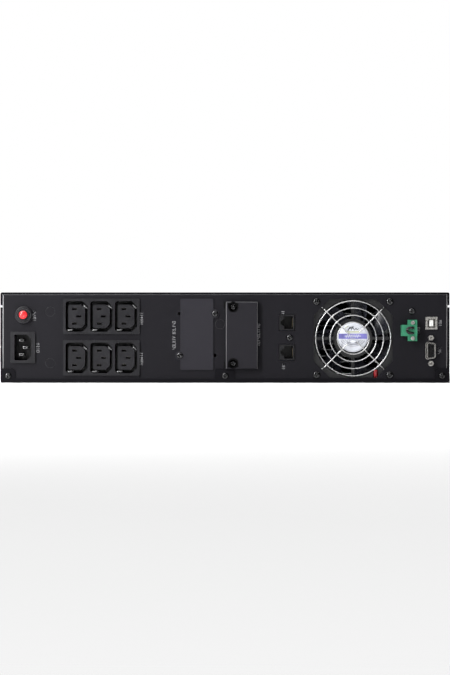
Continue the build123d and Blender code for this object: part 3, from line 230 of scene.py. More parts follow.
# Plastics and sleeves; the ports are darker inside with painted shade.
connector = finish_of("moulded_black_plastic", (0.0108, 0.0105, 0.0126), 0.36, specular=0.26,
                      cloud=60, vary=0.14, grain=2200, depth=0.015, strength=0.3,
                      depth_shade=(rear_mm + 0.5, rear_mm + 8.0))
jack_plastic = finish_of("black_jack_plastic", (0.0085, 0.0083, 0.0098), 0.36, specular=0.3,
                         cloud=60, vary=0.14, grain=2200, depth=0.015, strength=0.3,
                         depth_shade=(rear_mm + 0.2, rear_mm + 5.0))
insert_black = finish_of("black_port_insert", (0.0045, 0.0045, 0.005), 0.3, specular=0.3,
                         cloud=120, vary=0.2, grain=2200, depth=0.01)
dark_plastic = finish_of("fan_plastic", (0.01, 0.01, 0.011), 0.38, specular=0.5, cloud=60,
                         vary=0.15, grain=1500, depth=0.02)
bezel_plastic = finish_of("textured_bezel_plastic", (0.014, 0.014, 0.016), 0.45, specular=0.4,
                          cloud=18, vary=0.1, grain=1700, depth=0.045, strength=0.55)
pod_plastic = finish_of("polished_pod_plastic", (0.01, 0.01, 0.012), 0.18, cloud=30, vary=0.1,
                        grain=600, depth=0.002, coat=0.6)
red_plastic = finish_of("red_button_plastic", (0.8, 0.02, 0.025), 0.3, cloud=200, vary=0.12,
                        grain=1200, depth=0.01, coat=0.3)
green_plastic = finish_of("green_terminal_plastic", (0.026, 0.2, 0.105), 0.42, cloud=140,
                          vary=0.14, grain=1800, depth=0.02)
white_plastic = finish_of("white_port_plastic", (0.8, 0.8, 0.77), 0.4, cloud=150, vary=0.05,
                          grain=2000)
wire_black = finish_of("black_wire_sleeve", (0.003, 0.003, 0.003), 0.14, specular=0.5, cloud=300,
                       vary=0.2, grain=900, depth=0.01)
wire_red = finish_of("red_wire_sleeve", (0.3, 0.006, 0.011), 0.22, cloud=250, vary=0.2, grain=900,
                     depth=0.01, coat=0.4)
# Parts inside, and the front.
board = finish_of("circuit_board", (0.012, 0.11, 0.045), 0.3, cloud=120, vary=0.35, grain=500,
                  depth=0.03, coat=0.2)
sleeve = finish_of("capacitor_sleeve", (0.02, 0.03, 0.12), 0.25, cloud=50, vary=0.2, grain=700,
                   coat=0.3)
core = finish_of("transformer_core", (0.12, 0.11, 0.1), 0.6, metallic=0.6, cloud=80, grain=1400,
                 stretch=(1.0, 1.0, 12.0))
battery_case = finish_of("battery_case", (0.02, 0.021, 0.024), 0.5, cloud=25, vary=0.15,
                         grain=900, depth=0.05)
foam = finish_of("filter_foam", (0.015, 0.015, 0.016), 0.95, cloud=300, vary=0.5, grain=700,
                 depth=0.9, strength=1.0)
nylon = finish_of("nylon_runner", (0.72, 0.71, 0.66), 0.45, cloud=40, vary=0.05, grain=900)
screen = finish_of("lcd_glass", (0.02, 0.07, 0.16), 0.12, cloud=60, vary=0.1, grain=400,
                   depth=0.001)
button_grey = finish_of("button_plastic", (0.22, 0.225, 0.235), 0.4, cloud=120, vary=0.08,
                        grain=1500, depth=0.02)
lamp_green = finish_of("lamp_lens", (0.1, 0.5, 0.14), 0.2, cloud=200, vary=0.1, grain=900,
                       depth=0.005)

glass = Shader("display_glass", (0.75, 0.8, 0.85), 0.04)
glass.set(glass.shader, "Transmission Weight", 0.95)
glass.set(glass.shader, "IOR", 1.49)
glass.bump(glass.noise(60.0), 0.05, 0.01 * MM)
glass = glass.material

# Pieces added here: lugs, fan blades and printing.
polished_black = finish_of("polished_black_plastic", (0.06, 0.06, 0.062), 0.22, specular=1.0,
                           cloud=200, vary=0.2, grain=1500, depth=0.005, coat=1.0)
blade_plastic = finish_of("fan_blade_plastic", (0.022, 0.023, 0.03), 0.28, specular=0.6, cloud=60,
                          vary=0.15, grain=1200, depth=0.01, coat=0.2)
print_white = finish_of("screen_print", (0.22, 0.22, 0.23), 0.6, cloud=700, vary=0.25, grain=2500,
                        depth=0.01)
label_paper = finish_of("label_paper", (0.72, 0.74, 0.8), 0.3, cloud=180, vary=0.1, grain=900,
                        depth=0.01)
label_violet = finish_of("label_violet", (0.2, 0.19, 0.52), 0.35, cloud=200, vary=0.12, grain=900,
                         depth=0.01)
label_ink = finish_of("label_ink", (0.06, 0.07, 0.08), 0.4, cloud=300, vary=0.2, grain=900,
                      depth=0.01)
label_ochre = finish_of("label_ochre", (0.45, 0.47, 0.24), 0.4, cloud=300, vary=0.2, grain=900,
                        depth=0.01)
label_grey = finish_of("label_grey", (0.34, 0.35, 0.42), 0.4, cloud=300, vary=0.15, grain=900,
                       depth=0.01)

FINISH = {
    paint: ("rear_panel", "front_frame"),
    shaded_case_paint: ("base_tray", "top_cover"),
    cover_paint: ("slot_cover",),
    jack_paint: ("battery_jack_cover",),
    black_screw: ("cover_screws", "panel_screws", "fan_screws", "drawer_thumbscrews"),
    zinc: ("battery_bay_wall", "battery_tray"),
    shaded_pin_nickel: ("inlet_pins",),
    nickel: ("usb_shell", "serial_shell", "serial_jackscrews", "stop_plug_screws"),
    wire_steel: ("fan_guard",),
    tarnished: ("network_contacts",),
    brass: ("battery_terminals",),
    dull_contact: ("outlet_contacts",),
    aluminium: ("heat_sinks",),
    connector: ("outlet_banks", "inlet_housing", "breaker_body", "breaker_nut",
                "battery_jack", "battery_socket", "drawer_plug"),
    jack_plastic: ("network_jacks",),
    insert_black: ("serial_insert",),
    dark_plastic: ("fan_frame", "fan_rotor", "pod_back"),
    bezel_plastic: ("drawer_front", "front_bezel"),
    pod_plastic: ("display_pod",),
    red_plastic: ("breaker_button",),
    green_plastic: ("stop_header", "stop_plug"),
    white_plastic: ("usb_insert",),
    wire_black: ("stop_link_wire",),
    wire_red: ("fan_leads", "battery_leads"),
    board: ("main_board", "filter_board", "network_board", "comm_board", "control_board"),
    sleeve: ("bulk_capacitors",),
    core: ("transformer",),
    battery_case: ("batteries",),
    foam: ("air_filter",),
    nylon: ("drawer_runners",),
    screen: ("lcd_panel",),
    button_grey: ("button_on", "button_off", "button_select"),
    lamp_green: ("status_lights",),
    glass: ("display_window",),
}


def dress(node, material):
    """Give a CAD node one material."""
    thing = nodes[node]
    thing.data.materials.clear()
    thing.data.materials.append(material)


for material, names in FINISH.items():
    for name in names:
        dress(name, material)


# ------------------------------------------------------------------ mesh helpers
def add_mesh(name, bm, material, body, smooth=True, angle=35.0):
    """Turn a bmesh in world millimetres into a piece that rides on a body."""
    bmesh.ops.scale(bm, vec=(MM, MM, MM), verts=bm.verts)
    bmesh.ops.recalc_face_normals(bm, faces=bm.faces)
    mesh = bpy.data.meshes.new(name)
    bm.to_mesh(mesh)
    bm.free()
    mesh.materials.append(material)
    if smooth:
        mesh.shade_smooth()
        mesh.set_sharp_from_angle(angle=math.radians(angle))
    piece = bpy.data.objects.new(name, mesh)
    bpy.context.scene.collection.objects.link(piece)
    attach(piece, body)
    return piece


def add_curve(name, runs, radius, material, body, closed):
    """A smooth wire of round section through each run of points, in world millimetres."""
    data = bpy.data.curves.new(name, "CURVE")
    data.dimensions = "3D"
    data.bevel_depth = radius * MM
    data.bevel_resolution = 5
    data.resolution_u = 10
    data.use_fill_caps = True
    data.materials.append(material)
    for points in runs:
        spline = data.splines.new("BEZIER")
        spline.bezier_points.add(len(points) - 1)
        for point, place in zip(spline.bezier_points, points):
            point.co = Vector(place) * MM
            point.handle_left_type = point.handle_right_type = "AUTO"
        spline.use_cyclic_u = closed
    piece = bpy.data.objects.new(name, data)
    bpy.context.scene.collection.objects.link(piece)
    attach(piece, body)
    return piece


def soften(node, width=0.25, edge_highlight=None, segments=2, angle=32):
    """Weld a CAD node's faces together and round its sharp edges, in a lighter finish of painted
    highlight if given.
    """
    thing = nodes[node]
    thing.modifiers.new("weld", "WELD").merge_threshold = 1e-6
    bevel = thing.modifiers.new("bevel", "BEVEL")
    bevel.width = width * MM
    bevel.segments = segments
    bevel.limit_method = "ANGLE"
    bevel.angle_limit = math.radians(angle)
    bevel.harden_normals = True
    bevel.use_clamp_overlap = True
    if edge_highlight:
        thing.data.materials.append(edge_highlight)
        bevel.material = 1


def islands(node):
    """The low and high corner of each separate solid of a node, in millimetres."""
    bm = bmesh.new()
    bm.from_mesh(nodes[node].data)
    bmesh.ops.remove_doubles(bm, verts=bm.verts, dist=1e-6)
    found, seen = [], set()
    for start in bm.verts:
        if start in seen:
            continue
        group, todo = [], [start]
        seen.add(start)
        while todo:
            vert = todo.pop()
            group.append(vert.co / MM)
            for edge in vert.link_edges:
                other = edge.other_vert(vert)
                if other not in seen:
                    seen.add(other)
                    todo.append(other)
        low = Vector([min(p[i] for p in group) for i in range(3)])
        high = Vector([max(p[i] for p in group) for i in range(3)])
        found.append((low, high))
    bm.free()
    return sorted(found, key=lambda box: tuple(box[0]))


def band(bm, first, second):
    """Faces between two rings of vertices."""
    for k in range(len(first)):
        n = (k + 1) % len(first)
        bm.faces.new((first[k], second[k], second[n], first[n]))


def skin(bm, top, bottom):
    """A closed slab between two grids of vertices."""
    rows, columns = len(top) - 1, len(top[0]) - 1
    for grid in (top, bottom):
        for i in range(rows):
            for j in range(columns):
                bm.faces.new((grid[i][j], grid[i + 1][j], grid[i + 1][j + 1], grid[i][j + 1]))
    for i in range(rows):
        for j in (0, columns):
            bm.faces.new((top[i][j], top[i + 1][j], bottom[i + 1][j], bottom[i][j]))
    for j in range(columns):
        for i in (0, rows):
            bm.faces.new((top[i][j], top[i][j + 1], bottom[i][j + 1], bottom[i][j]))


def polar_cap(bm, centre, rings, height, segments):
    """A closed round cap facing the rear: height(r, angle) says how far each point stands out."""
    grid = []
    for r in rings:
        row = []
        for k in range(segments):
            a = 2 * math.pi * k / segments
            spot = Vector((r * math.cos(a), -height(r, a), r * math.sin(a)))
            row.append(bm.verts.new(centre + spot))
        grid.append(row)
    tip = bm.verts.new(centre + Vector((0, -height(0.0, 0.0), 0)))
    for k in range(segments):
        bm.faces.new((tip, grid[0][k], grid[0][(k + 1) % segments]))
        for inner, outer in zip(grid, grid[1:]):
            bm.faces.new((inner[k], outer[k], outer[(k + 1) % segments], inner[(k + 1) % segments]))
    bm.faces.new(grid[-1][::-1])


def turned(bm, centre, profile, segments):
    """A closed solid turned about Y: the profile gives (radius, y) from axis to axis."""
    rows = []
    for radius, y in profile:
        turns = [2 * math.pi * k / segments for k in range(segments if radius else 1)]
        spots = [Vector((radius * math.cos(a), y, radius * math.sin(a))) for a in turns]
        rows.append([bm.verts.new(centre + spot) for spot in spots])
    for first, second in zip(rows, rows[1:]):
        if len(first) == len(second):
            band(bm, first, second)
            continue
        for k in range(segments):
            n = (k + 1) % segments
            if len(first) == 1:
                bm.faces.new((first[0], second[k], second[n]))
            else:
                bm.faces.new((first[k], second[0], first[n]))


def prism(bm, outline, y_out, y_in):
    """A flat shape in X and Z, given thickness along Y."""
    front = [bm.verts.new((x, y_out, z)) for x, z in outline]
    back = [bm.verts.new((x, y_in, z)) for x, z in outline]
    bm.faces.new(front)
    bm.faces.new(back[::-1])
    for k in range(len(outline)):
        n = (k + 1) % len(outline)
        bm.faces.new((front[n], front[k], back[k], back[n]))


# Rounded edges; a lighter finish given here is painted highlight.
for node in ("rear_panel", "slot_cover", "battery_jack_cover", "front_frame"):
    soften(node, 0.2, edge_highlight_paint)
for node in ("base_tray", "top_cover", "network_jacks"):
    soften(node, 0.2)
for node in ("outlet_banks", "inlet_housing", "breaker_nut", "breaker_body"):
    soften(node, 0.3, edge_highlight_plastic)
for node in ("stop_plug", "stop_header", "drawer_front", "front_bezel", "fan_frame"):
    soften(node, 0.35)
for node in ("usb_shell", "serial_insert", "stop_plug_screws", "usb_insert", "drawer_thumbscrews",
             "battery_tray", "batteries"):
    soften(node, 0.18)
soften("serial_shell", 0.08)
soften("inlet_pins", 0.2, pin_edge_highlight)
for node in ("fan_leads", "stop_link_wire", "battery_leads", "display_pod", "pod_back",
             "button_on", "button_off", "button_select", "status_lights", "bulk_capacitors"):
    soften(node, 0.15)


# ------------------------------------------------------------------ screws
HEAD_HEIGHT, DOME_SHARE = 2.2, 0.28
CROSS_WIDTH, CROSS_REACH = 0.13, 0.62  # half width and reach, as shares of the head's radius
CROSS_ROOM, CROSS_WALL, CROSS_END = 0.18, 0.22, 0.5  # added half width, and how its walls slope
CROSS_DEPTH, CROSS_TAPER = 1.3, 0.45
PANEL_HEAD, PANEL_SHANK = 3.3, 1.4
FAN_HEAD, FAN_SHANK = 3.6, 2.05


def pan_head(radius):
    """Height of a pan head with a cross recess, as a function of radius and angle."""
    reach, half = CROSS_REACH * radius, CROSS_WIDTH * radius + CROSS_ROOM

    def stands(r, a):
        t = min(1.0, r / radius)
        top = HEAD_HEIGHT * ((1 - t ** 6) ** 0.5 * (1 - DOME_SHARE) + DOME_SHARE * (1 - t * t))
        u, v = abs(r * math.cos(a)), abs(r * math.sin(a))
        long, across = max(u, v), min(u, v)
        inside = min((half - across) / CROSS_WALL, (reach - long) / CROSS_END)
        cut = CROSS_DEPTH * max(0.0, min(1.0, inside)) * (1 - CROSS_TAPER * long / reach)
        return max(0.02, top - cut)
    return stands


def screw_set(name, node, head_radius, shank_radius):
    """New heads and shanks at the places of a CAD node's screws."""
    bm = bmesh.new()
    steps = 26
    # The rings of points stand closer together towards the rim.
    rings = [head_radius * (1 - (1 - (k + 1) / steps) ** 1.5) for k in range(steps)]
    for low, high in islands(node):
        centre = Vector(((low.x + high.x) / 2, 0, (low.z + high.z) / 2))
        seat = low.y + HEAD_HEIGHT
        polar_cap(bm, centre + Vector((0, seat, 0)), rings, pan_head(head_radius), 72)
        shank = ((0, seat), (shank_radius, seat), (shank_radius, high.y), (0, high.y))
        turned(bm, centre, shank, 20)
    piece = add_mesh(name, bm, black_screw, "case", angle=50)
    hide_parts(node)


screw_set("panel_screw_set", "panel_screws", PANEL_HEAD, PANEL_SHANK)
screw_set("fan_screw_set", "fan_screws", FAN_HEAD, FAN_SHANK)


# ------------------------------------------------------------------ small parts on the panel
def build_reset_button():
    """The breaker's push button, with a soft crown."""
    low, high = (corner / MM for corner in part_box("breaker_button"))
    centre = Vector(((low.x + high.x) / 2, 0, (low.z + high.z) / 2))
    radius, crown, chamfer, steps = (high.x - low.x) / 2, 1.5, 0.4, 10
    profile = [(0, low.y)]
    for step in range(1, steps + 1):
        t = math.pi / 2 * step / steps
        profile.append((radius * math.sin(t), low.y + crown * (1 - math.cos(t))))
    profile += [(radius, high.y - chamfer), (radius - chamfer, high.y), (0, high.y)]
    bm = bmesh.new()
    turned(bm, centre, profile, 48)
    piece = add_mesh("reset_button", bm, red_plastic, "breaker_button", angle=50)
    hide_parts("breaker_button")


def jackscrew_profile(low_y, high_y):
    """Radius, place along Y and whether hexagonal, from the hole round to the shank's end."""
    half_across, hole, shank = 2.5, 1.3, 1.45
    pitch, turns, groove = 0.64, 6, 0.88
    profile = [(hole * 0.9, rear_mm - 0.6, False)]
    for turn in range(turns):
        crest = rear_mm - 0.8 - pitch * turn
        profile += [(hole, crest, False), (hole * groove, crest - 0.3, False)]
    profile += [(hole, low_y + 0.3, False), (hole + 0.25, low_y, False),
                (half_across * 0.93, low_y, False), (half_across, low_y + 0.5, True),
                (half_across, rear_mm, True), (shank, rear_mm, False), (shank, high_y, False)]
    return profile


def hexagon_radius(half_across, a):
    """Reach of a hexagon at an angle, its corners rounded by the chamfer."""
    sixth = math.pi / 3
    flat = math.cos(sixth / 2) / math.cos(a % sixth - sixth / 2)
    return half_across * min(flat * 1.155, 1.12)


def build_jackscrews():
    """Hexagonal jackscrews with a chamfered face and a threaded hole."""
    bm = bmesh.new()
    sides = 48
    for low, high in islands("serial_jackscrews"):
        centre = Vector(((low.x + high.x) / 2, 0, (low.z + high.z) / 2))
        rows = []
        for radius, y, hexagonal in jackscrew_profile(low.y, high.y):
            row = []
            for k in range(sides):
                a = 2 * math.pi * k / sides
                r = hexagon_radius(radius, a) if hexagonal else radius
                row.append(bm.verts.new(centre + Vector((r * math.cos(a), y, r * math.sin(a)))))
            rows.append(row)
        for first, second in zip(rows, rows[1:]):
            band(bm, first, second)
        bm.faces.new(rows[0])
        bm.faces.new(rows[-1][::-1])
    piece = add_mesh("jackscrew_set", bm, nickel, "case", angle=40)
    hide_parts("serial_jackscrews")


def lug(bm, centre, way, length, width):
    """A low smooth lug with its long side along way, standing out towards the rear."""
    across = Vector((-way.z, 0, way.x))
    steps_u, steps_v = 12, 10
    top = []
    for i in range(steps_u + 1):
        s = 2 * i / steps_u - 1
        row = []
        for j in range(steps_v + 1):
            t = 2 * j / steps_v - 1
            rise = LUG_HEIGHT * (1 - s ** 4) * (1 - t * t) ** 0.5
            flat = way * (s * length / 2) + across * (t * width / 2)
            row.append(bm.verts.new(centre + flat + Vector((0, -rise, 0))))
        top.append(row)
    foot = centre.y + LUG_DEPTH
    skin(bm, top, [[bm.verts.new((v.co.x, foot, v.co.z)) for v in row] for row in top])


OUTLET_PITCH, RECESS_HALF_X, RECESS_HALF_Z = 24.1, 10.8, 14.95
LUG_SEAT, LUG_HEIGHT, LUG_DEPTH = 0.6, 2.1, 12
# A lug low on the left and one high on the right: side, distances in from that corner along X and
# Z, slope, length and width.
LUGS = ((-1, 4.2, 1.5, 0.1, 6.6, 2.4), (1, 2.2, 5.7, -0.8, 6.0, 2.3))


def build_outlet_lugs():
    """Polished retaining lugs in two corners of each outlet's recess."""
    bm = bmesh.new()
    for low, high in islands("outlet_banks"):
        z = (low.z + high.z) / 2
        for column in (-1, 0, 1):
            x = (low.x + high.x) / 2 + column * OUTLET_PITCH
            for side, in_x, in_z, slope, length, width in LUGS:
                place = Vector((x + side * (RECESS_HALF_X - in_x), rear_mm + LUG_SEAT,
                                z + side * (RECESS_HALF_Z - in_z)))
                lug(bm, place, Vector((1, 0, slope)).normalized(), length, width)
    add_mesh("outlet_lugs", bm, polished_black, "case", angle=70)


PORT_SLANT, PORT_ROUNDING = math.radians(10), 0.22
GROOVE_OUTER, GROOVE_INNER, GROOVE_DEPTH = (16.7, 8.7), (15.6, 7.4), 2


def d_loop(height, width, count=8):
    """The outline of a nine-way port standing on end, its long side towards -X."""
    lean, radius = width * math.tan(PORT_SLANT), width * PORT_ROUNDING
    corners = [Vector(c) for c in ((-width / 2, -height / 2), (-width / 2, height / 2),
                                   (width / 2, height / 2 - lean),
                                   (width / 2, -height / 2 + lean))]
    points = []
    for k, corner in enumerate(corners):
        before = (corners[k - 1] - corner).normalized() * radius
        after = (corners[(k + 1) % 4] - corner).normalized() * radius
        for step in range(count + 1):
            t = step / count
            points.append(corner + before * (1 - t) ** 2 + after * t ** 2)
    return points


def build_serial_groove_shade():
    """Painted shade: a black ring that fills the gap between the serial port's skirt and its shell.
    """
    centre = middle("serial_shell") / MM
    near, far = rear_mm - 0.1, rear_mm + GROOVE_DEPTH
    bm = bmesh.new()
    loops = []
    for size, y in ((GROOVE_OUTER, near), (GROOVE_INNER, near), (GROOVE_INNER, far),
                    (GROOVE_OUTER, far)):
        loops.append([bm.verts.new((centre.x + p.x, y, centre.z + p.y)) for p in d_loop(*size)])
    for first, second in zip(loops, loops[1:] + loops[:1]):
        band(bm, first, second)
    add_mesh("serial_groove_painted_shade", bm, insert_black, "case")


build_reset_button()
build_jackscrews()
build_serial_groove_shade()
build_outlet_lugs()


# ------------------------------------------------------------------ fan: guard, rotor, label
GUARD_WIRE = 0.54  # radius
GUARD_RINGS = (36.5, 29.5, 22.5, 15.5)
SPOKE_ENDS = (8.0, 5.0, 8.0, 5.0)  # how near each spoke comes to the middle
FAN_HOLE_PITCH = 71.5
SCREW_LOOP = FAN_HOLE_PITCH / 2 * math.sqrt(2)  # from the fan's middle to its screws
EYE_RADIUS = 3.15


def circle(centre, radius, y, count=24):
    """Points of a circle about an axis along Y."""
    turns = [2 * math.pi * k / count for k in range(count)]
    return [(centre.x + radius * math.cos(a), y, centre.z + radius * math.sin(a)) for a in turns]


def build_guard():
    """The wire guard: four rings, and four spokes that end in eyes around the screws."""
    low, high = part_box("fan_guard")
    seat = high.y / MM - GUARD_WIRE
    rings_y = low.y / MM + GUARD_WIRE
    proud = rings_y + 2 * GUARD_WIRE - 0.5
    rings = [circle(fan, radius, rings_y) for radius in GUARD_RINGS]
    hoops, spokes = [], []
    for number, inner in enumerate(SPOKE_ENDS):
        a = math.radians(45 + 90 * number)
        out = Vector((math.cos(a), 0, math.sin(a)))
        # Distance from the fan's middle and place along Y, from the eye inwards over the bend.
        path = ((SCREW_LOOP - 3.0, seat), (42.6, seat), (41.4, seat - 0.25), (40.6, seat - 0.9),
                (39.8, proud + 0.4), (38.8, proud), (30, proud), (20, proud), (inner, proud))
        spokes.append([fan + out * reach + Vector((0, y, 0)) for reach, y in path])
        hoops.append(circle(fan + out * SCREW_LOOP, EYE_RADIUS, seat, 12))
    wire_sets = (("guard_rings", rings + hoops, True), ("guard_spokes", spokes, False))
    for name, runs, closed in wire_sets:
        wires = add_curve(name, runs, GUARD_WIRE, wire_steel, "case", closed)
        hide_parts("fan_guard")


BLADES, FIRST_BLADE = 7, 20  # degrees from the X axis
HUB_RADIUS, TIP_RADIUS = 18.6, 37.0
BLADE_BOW, BLADE_HALF, BLADE_SWEEP = 1.9, 0.65, 0.24


def blade_sheet(bm, base, middle_y, side):
    """One face of a blade, as a grid from the hub outwards."""
    across, along, sunk = 14, 10, 0.6
    grid = []
    for i in range(along + 1):
        t = i / along
        radius = HUB_RADIUS - sunk + (TIP_RADIUS - HUB_RADIUS + sunk) * t
        chord, pitch = 17 + 8 * t, math.radians(48 - 17 * t)
        row = []
        for j in range(across + 1):
            s = j / across - 0.5
            edge = 1 - abs(2 * s) ** 5
            off = BLADE_BOW * (1 - 4 * s * s) + side * BLADE_HALF * (0.25 + 0.75 * edge)
            arc = s * chord * math.cos(pitch) - off * math.sin(pitch)
            y = middle_y + s * chord * math.sin(pitch) + off * math.cos(pitch)
            a = base + BLADE_SWEEP * t ** 1.6 + arc / radius
            row.append(bm.verts.new(fan + Vector((radius * math.cos(a), y, radius * math.sin(a)))))
        grid.append(row)
    return grid


def build_rotor():
    """The fan's wheel: thin curved blades around a cup-shaped hub on its shaft."""
    low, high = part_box("fan_rotor")
    rear, front = low.y / MM + 1.8, high.y / MM
    wall, shaft, blade_middle = 2, 1.5, rear + 9.6
    bm = bmesh.new()
    for number in range(BLADES):
        base = math.radians(360 / BLADES * number + FIRST_BLADE)
        skin(bm, *(blade_sheet(bm, base, blade_middle, side) for side in (-1, 1)))
    inner, floor = HUB_RADIUS - wall, front - 2.2
    profile = ((0, front), (HUB_RADIUS - 2.4, front), (HUB_RADIUS - 0.7, front - 0.7),
               (HUB_RADIUS, front - 2.4), (HUB_RADIUS, rear + 1), (inner, rear + 1), (inner, floor),
               (shaft, floor), (shaft, rear), (0, rear))
    turned(bm, fan, profile, 64)
    piece = add_mesh("fan_wheel", bm, blade_plastic, "fan_rotor", angle=40)
    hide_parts("fan_rotor")


build_guard()
build_rotor()


# ------------------------------------------------------------------ printing: generic pictograms
def ring_points(radius, count=20, start=0.0, sweep=360.0, flat=1.0):
    """Points along an arc or a whole circle, in degrees, flattened upwards by a share."""
    turns = [math.radians(start + sweep * k / count) for k in range(count + 1)]
    return [(radius * math.cos(a), flat * radius * math.sin(a)) for a in turns]


SYMBOLS = {
    "bar": [[(-1, 0), (1, 0)]],
    "frame": [[(-1, -1), (1, -1), (1, 1), (-1, 1), (-1, -1)]],
    "arrow": [[(-1, 0), (1, 0)], [(0.2, -1), (1, 0), (0.2, 1)]],
    "wave": [[(-1, -0.6), (-0.6, 0.6), (-0.1, 0.6), (0.1, -0.6), (0.6, -0.6), (1, 0.6)]],
    "fork": [[(-1, 0), (1, 0)], [(-0.2, 0), (0.4, 1), (1, 1)], [(-0.2, 0), (0.4, -1), (1, -1)]],
    "ring": [ring_points(0.95)],
    "corner": [[(-1, -1), (1, -1), (1, 1)]],
    "step": [[(-1, -1), (0, -1), (0, 1), (1, 1)]],
    "peak": [[(-1, -1), (1, 0), (-1, 1)]],
    "cross": [[(-1, -1), (1, 1)], [(-1, 1), (1, -1)]],
    "double": [[(-1, -0.7), (1, -0.7)], [(-1, 0.7), (1, 0.7)]],
    "one": [[(-1, 0), (1, 0)], [(0.5, -0.8), (1, 0)]],
    "two": [[(0.6, -0.9), (1, -0.3), (1, 0.5), (0.4, 0.9), (-1, -0.9), (-1, 0.9)]],
}


def stroke(bm, points, width, y_out, y_in):
    """A printed line of even width, with each of its straight runs a thin closed slab."""
    for first, second in zip(points, points[1:]):
        a, b = Vector(first), Vector(second)
        if (b - a).length < 1e-6:
            continue
        way = (b - a).normalized() * width / 2
        side = Vector((-way.y, way.x))
        prism(bm, [a - way - side, b + way - side, b + way + side, a - way + side], y_out, y_in)


def beside(node, gap, rise):
    """A point beside a node: right of it, or left if gap is negative, and rise above its middle."""
    low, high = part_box(node)
    return (high.x if gap > 0 else low.x) / MM + gap, middle(node).z / MM + rise


def over(node, gap, shift):
    """A point over a node, or under it if gap is negative, and shift right of its middle."""
    low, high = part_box(node)
    return middle(node).x / MM + shift, (high.z if gap > 0 else low.z) / MM + gap


PRINT_OUT, PRINT_IN = 0.06, 0.05  # how far print stands out of the panel and reaches into it
SYMBOL_SHARE = 0.33  # half a symbol's height, as a share of the pitch


def label(name, place, length, symbols, half_width=1.45, line=0.42):
    """A column of pictograms on the rear panel about a place, on end as port names stand."""
    bm = bmesh.new()
    x, middle_z = place
    pitch = length / len(symbols)
    for number, symbol in enumerate(symbols):
        z = middle_z + length / 2 - pitch * (number + 0.5)
        for points in SYMBOLS[symbol]:
            placed = [(x + u * half_width, z + v * pitch * SYMBOL_SHARE) for u, v in points]
            stroke(bm, placed, line, rear_mm - PRINT_OUT, rear_mm + PRINT_IN)
    add_mesh(name, bm, print_white, "case", smooth=False)


OUTLET_MARKS = ("wave", "bar", "arrow", "double", "frame")
label("mark_breaker", beside("breaker_nut", 1.8, -0.7), 10.6,
      ("ring", "step", "peak", "double", "bar"))
label("mark_inlet", beside("inlet_housing", 2.5, -0.3), 9.6, ("arrow", "wave", "bar", "frame"))
label("mark_outlets_upper", beside("outlet_banks", 1.75, 18.05), 12.4, (*OUTLET_MARKS, "one"))
label("mark_outlets_lower", beside("outlet_banks", 1.75, -21.25), 13.0, (*OUTLET_MARKS, "two"))
label("mark_card_slot", beside("slot_cover", -1.4, -1.0), 27.8,
      ("frame", "step", "bar", "corner", "wave", "double", "ring", "peak", "bar", "cross", "corner",
       "frame", "step"))
label("mark_battery_jack", beside("battery_jack_cover", 0.8, 0.4), 21.8,
      ("frame", "peak", "bar", "double", "corner", "cross", "step", "bar", "frame", "wave"))
label("mark_network_in", over("network_jacks", 2.3, -3.8), 3.4, ("bar", "arrow"), 1.3)
label("mark_network_out", over("network_jacks", -6.1, -3.4), 6.2, ("ring", "double", "arrow"), 1.3)
label("mark_stop", beside("stop_plug", 2.1, 0.15), 6.4, ("frame", "cross", "ring"), 1.2)
label("mark_usb", beside("usb_shell", 2.8, 0.0), 6.4, ("fork", "frame", "bar"), 1.2)
label("mark_serial", beside("serial_shell", 2.5, 0.1), 6.8, ("ring", "double", "step"), 1.3)


def build_fan_label():
    """A round paper label on the fan's fixed hub: silver white, a violet band, generic marks."""
    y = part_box("fan_frame")[0].y / MM
    centre = Vector((fan.x, y, fan.z + 1.4))
    disc, radius, face = bmesh.new(), 14.8, -0.16
    profile = ((0, face), (radius - 0.2, face), (radius, -0.05), (radius, 0.1), (0, 0.1))
    turned(disc, centre, profile, 72)
    add_mesh("fan_label", disc, label_paper, "case", angle=60)

    def inked(name, material, lines, height=0.22):
        bm = bmesh.new()
        for points, width in lines:
            placed = [(centre.x + u, centre.z + v) for u, v in points]
            stroke(bm, placed, width, y - height, y - 0.12)
        add_mesh(name, bm, material, "case", smooth=False)

    inked("fan_label_band", label_violet, [([(-11.6, 0.6), (11.6, 0.6)], 5.0)], 0.2)
    light = [([(-6.6 + 2.2 * k, -0.6), (-5.2 + 2.2 * k, 2.2)], 0.6) for k in range(6)]
    light += [([(-7.6, 0.8), (7.6, 0.8)], 0.7)]
    inked("fan_label_band_marks", label_paper, light, 0.24)
    dark = [([(-4.6, 6.6), (-3.2, 9.0), (0.4, 10.0)], 0.8), ([(-3.4, 8.0), (-0.6, 8.6)], 0.6),
            ([(-1.6, 6.6), (-0.2, 9.4), (1.4, 6.8)], 0.7),
            ([(2.0, 6.8), (3.0, 8.4), (4.2, 6.8), (5.4, 8.0)], 0.6)]
    inked("fan_label_sign", label_ink, dark)
    ochre = [([(-7.4, 5.2), (7.8, 5.2)], 0.7), ([(-6.2, 4.0), (6.2, 4.0)], 0.5),
             ([(-7.8, 8.4), (-4.4, 10.6)], 0.5)]
    inked("fan_label_rule", label_ochre, ochre)
    arcs = [(ring_points(r, 28, 205, 130, 0.72), 0.5) for r in (12.6, 10.6, 8.6)]
    arcs += [([(u, v - 4.4) for u, v in ring_points(r, 24, 0, 360, 0.5)], 0.45) for r in (5.8, 3.6)]
    inked("fan_label_arcs", label_grey, arcs)
    inked("fan_label_rim", label_grey, [(ring_points(14.0, 60), 0.35)])


build_fan_label()


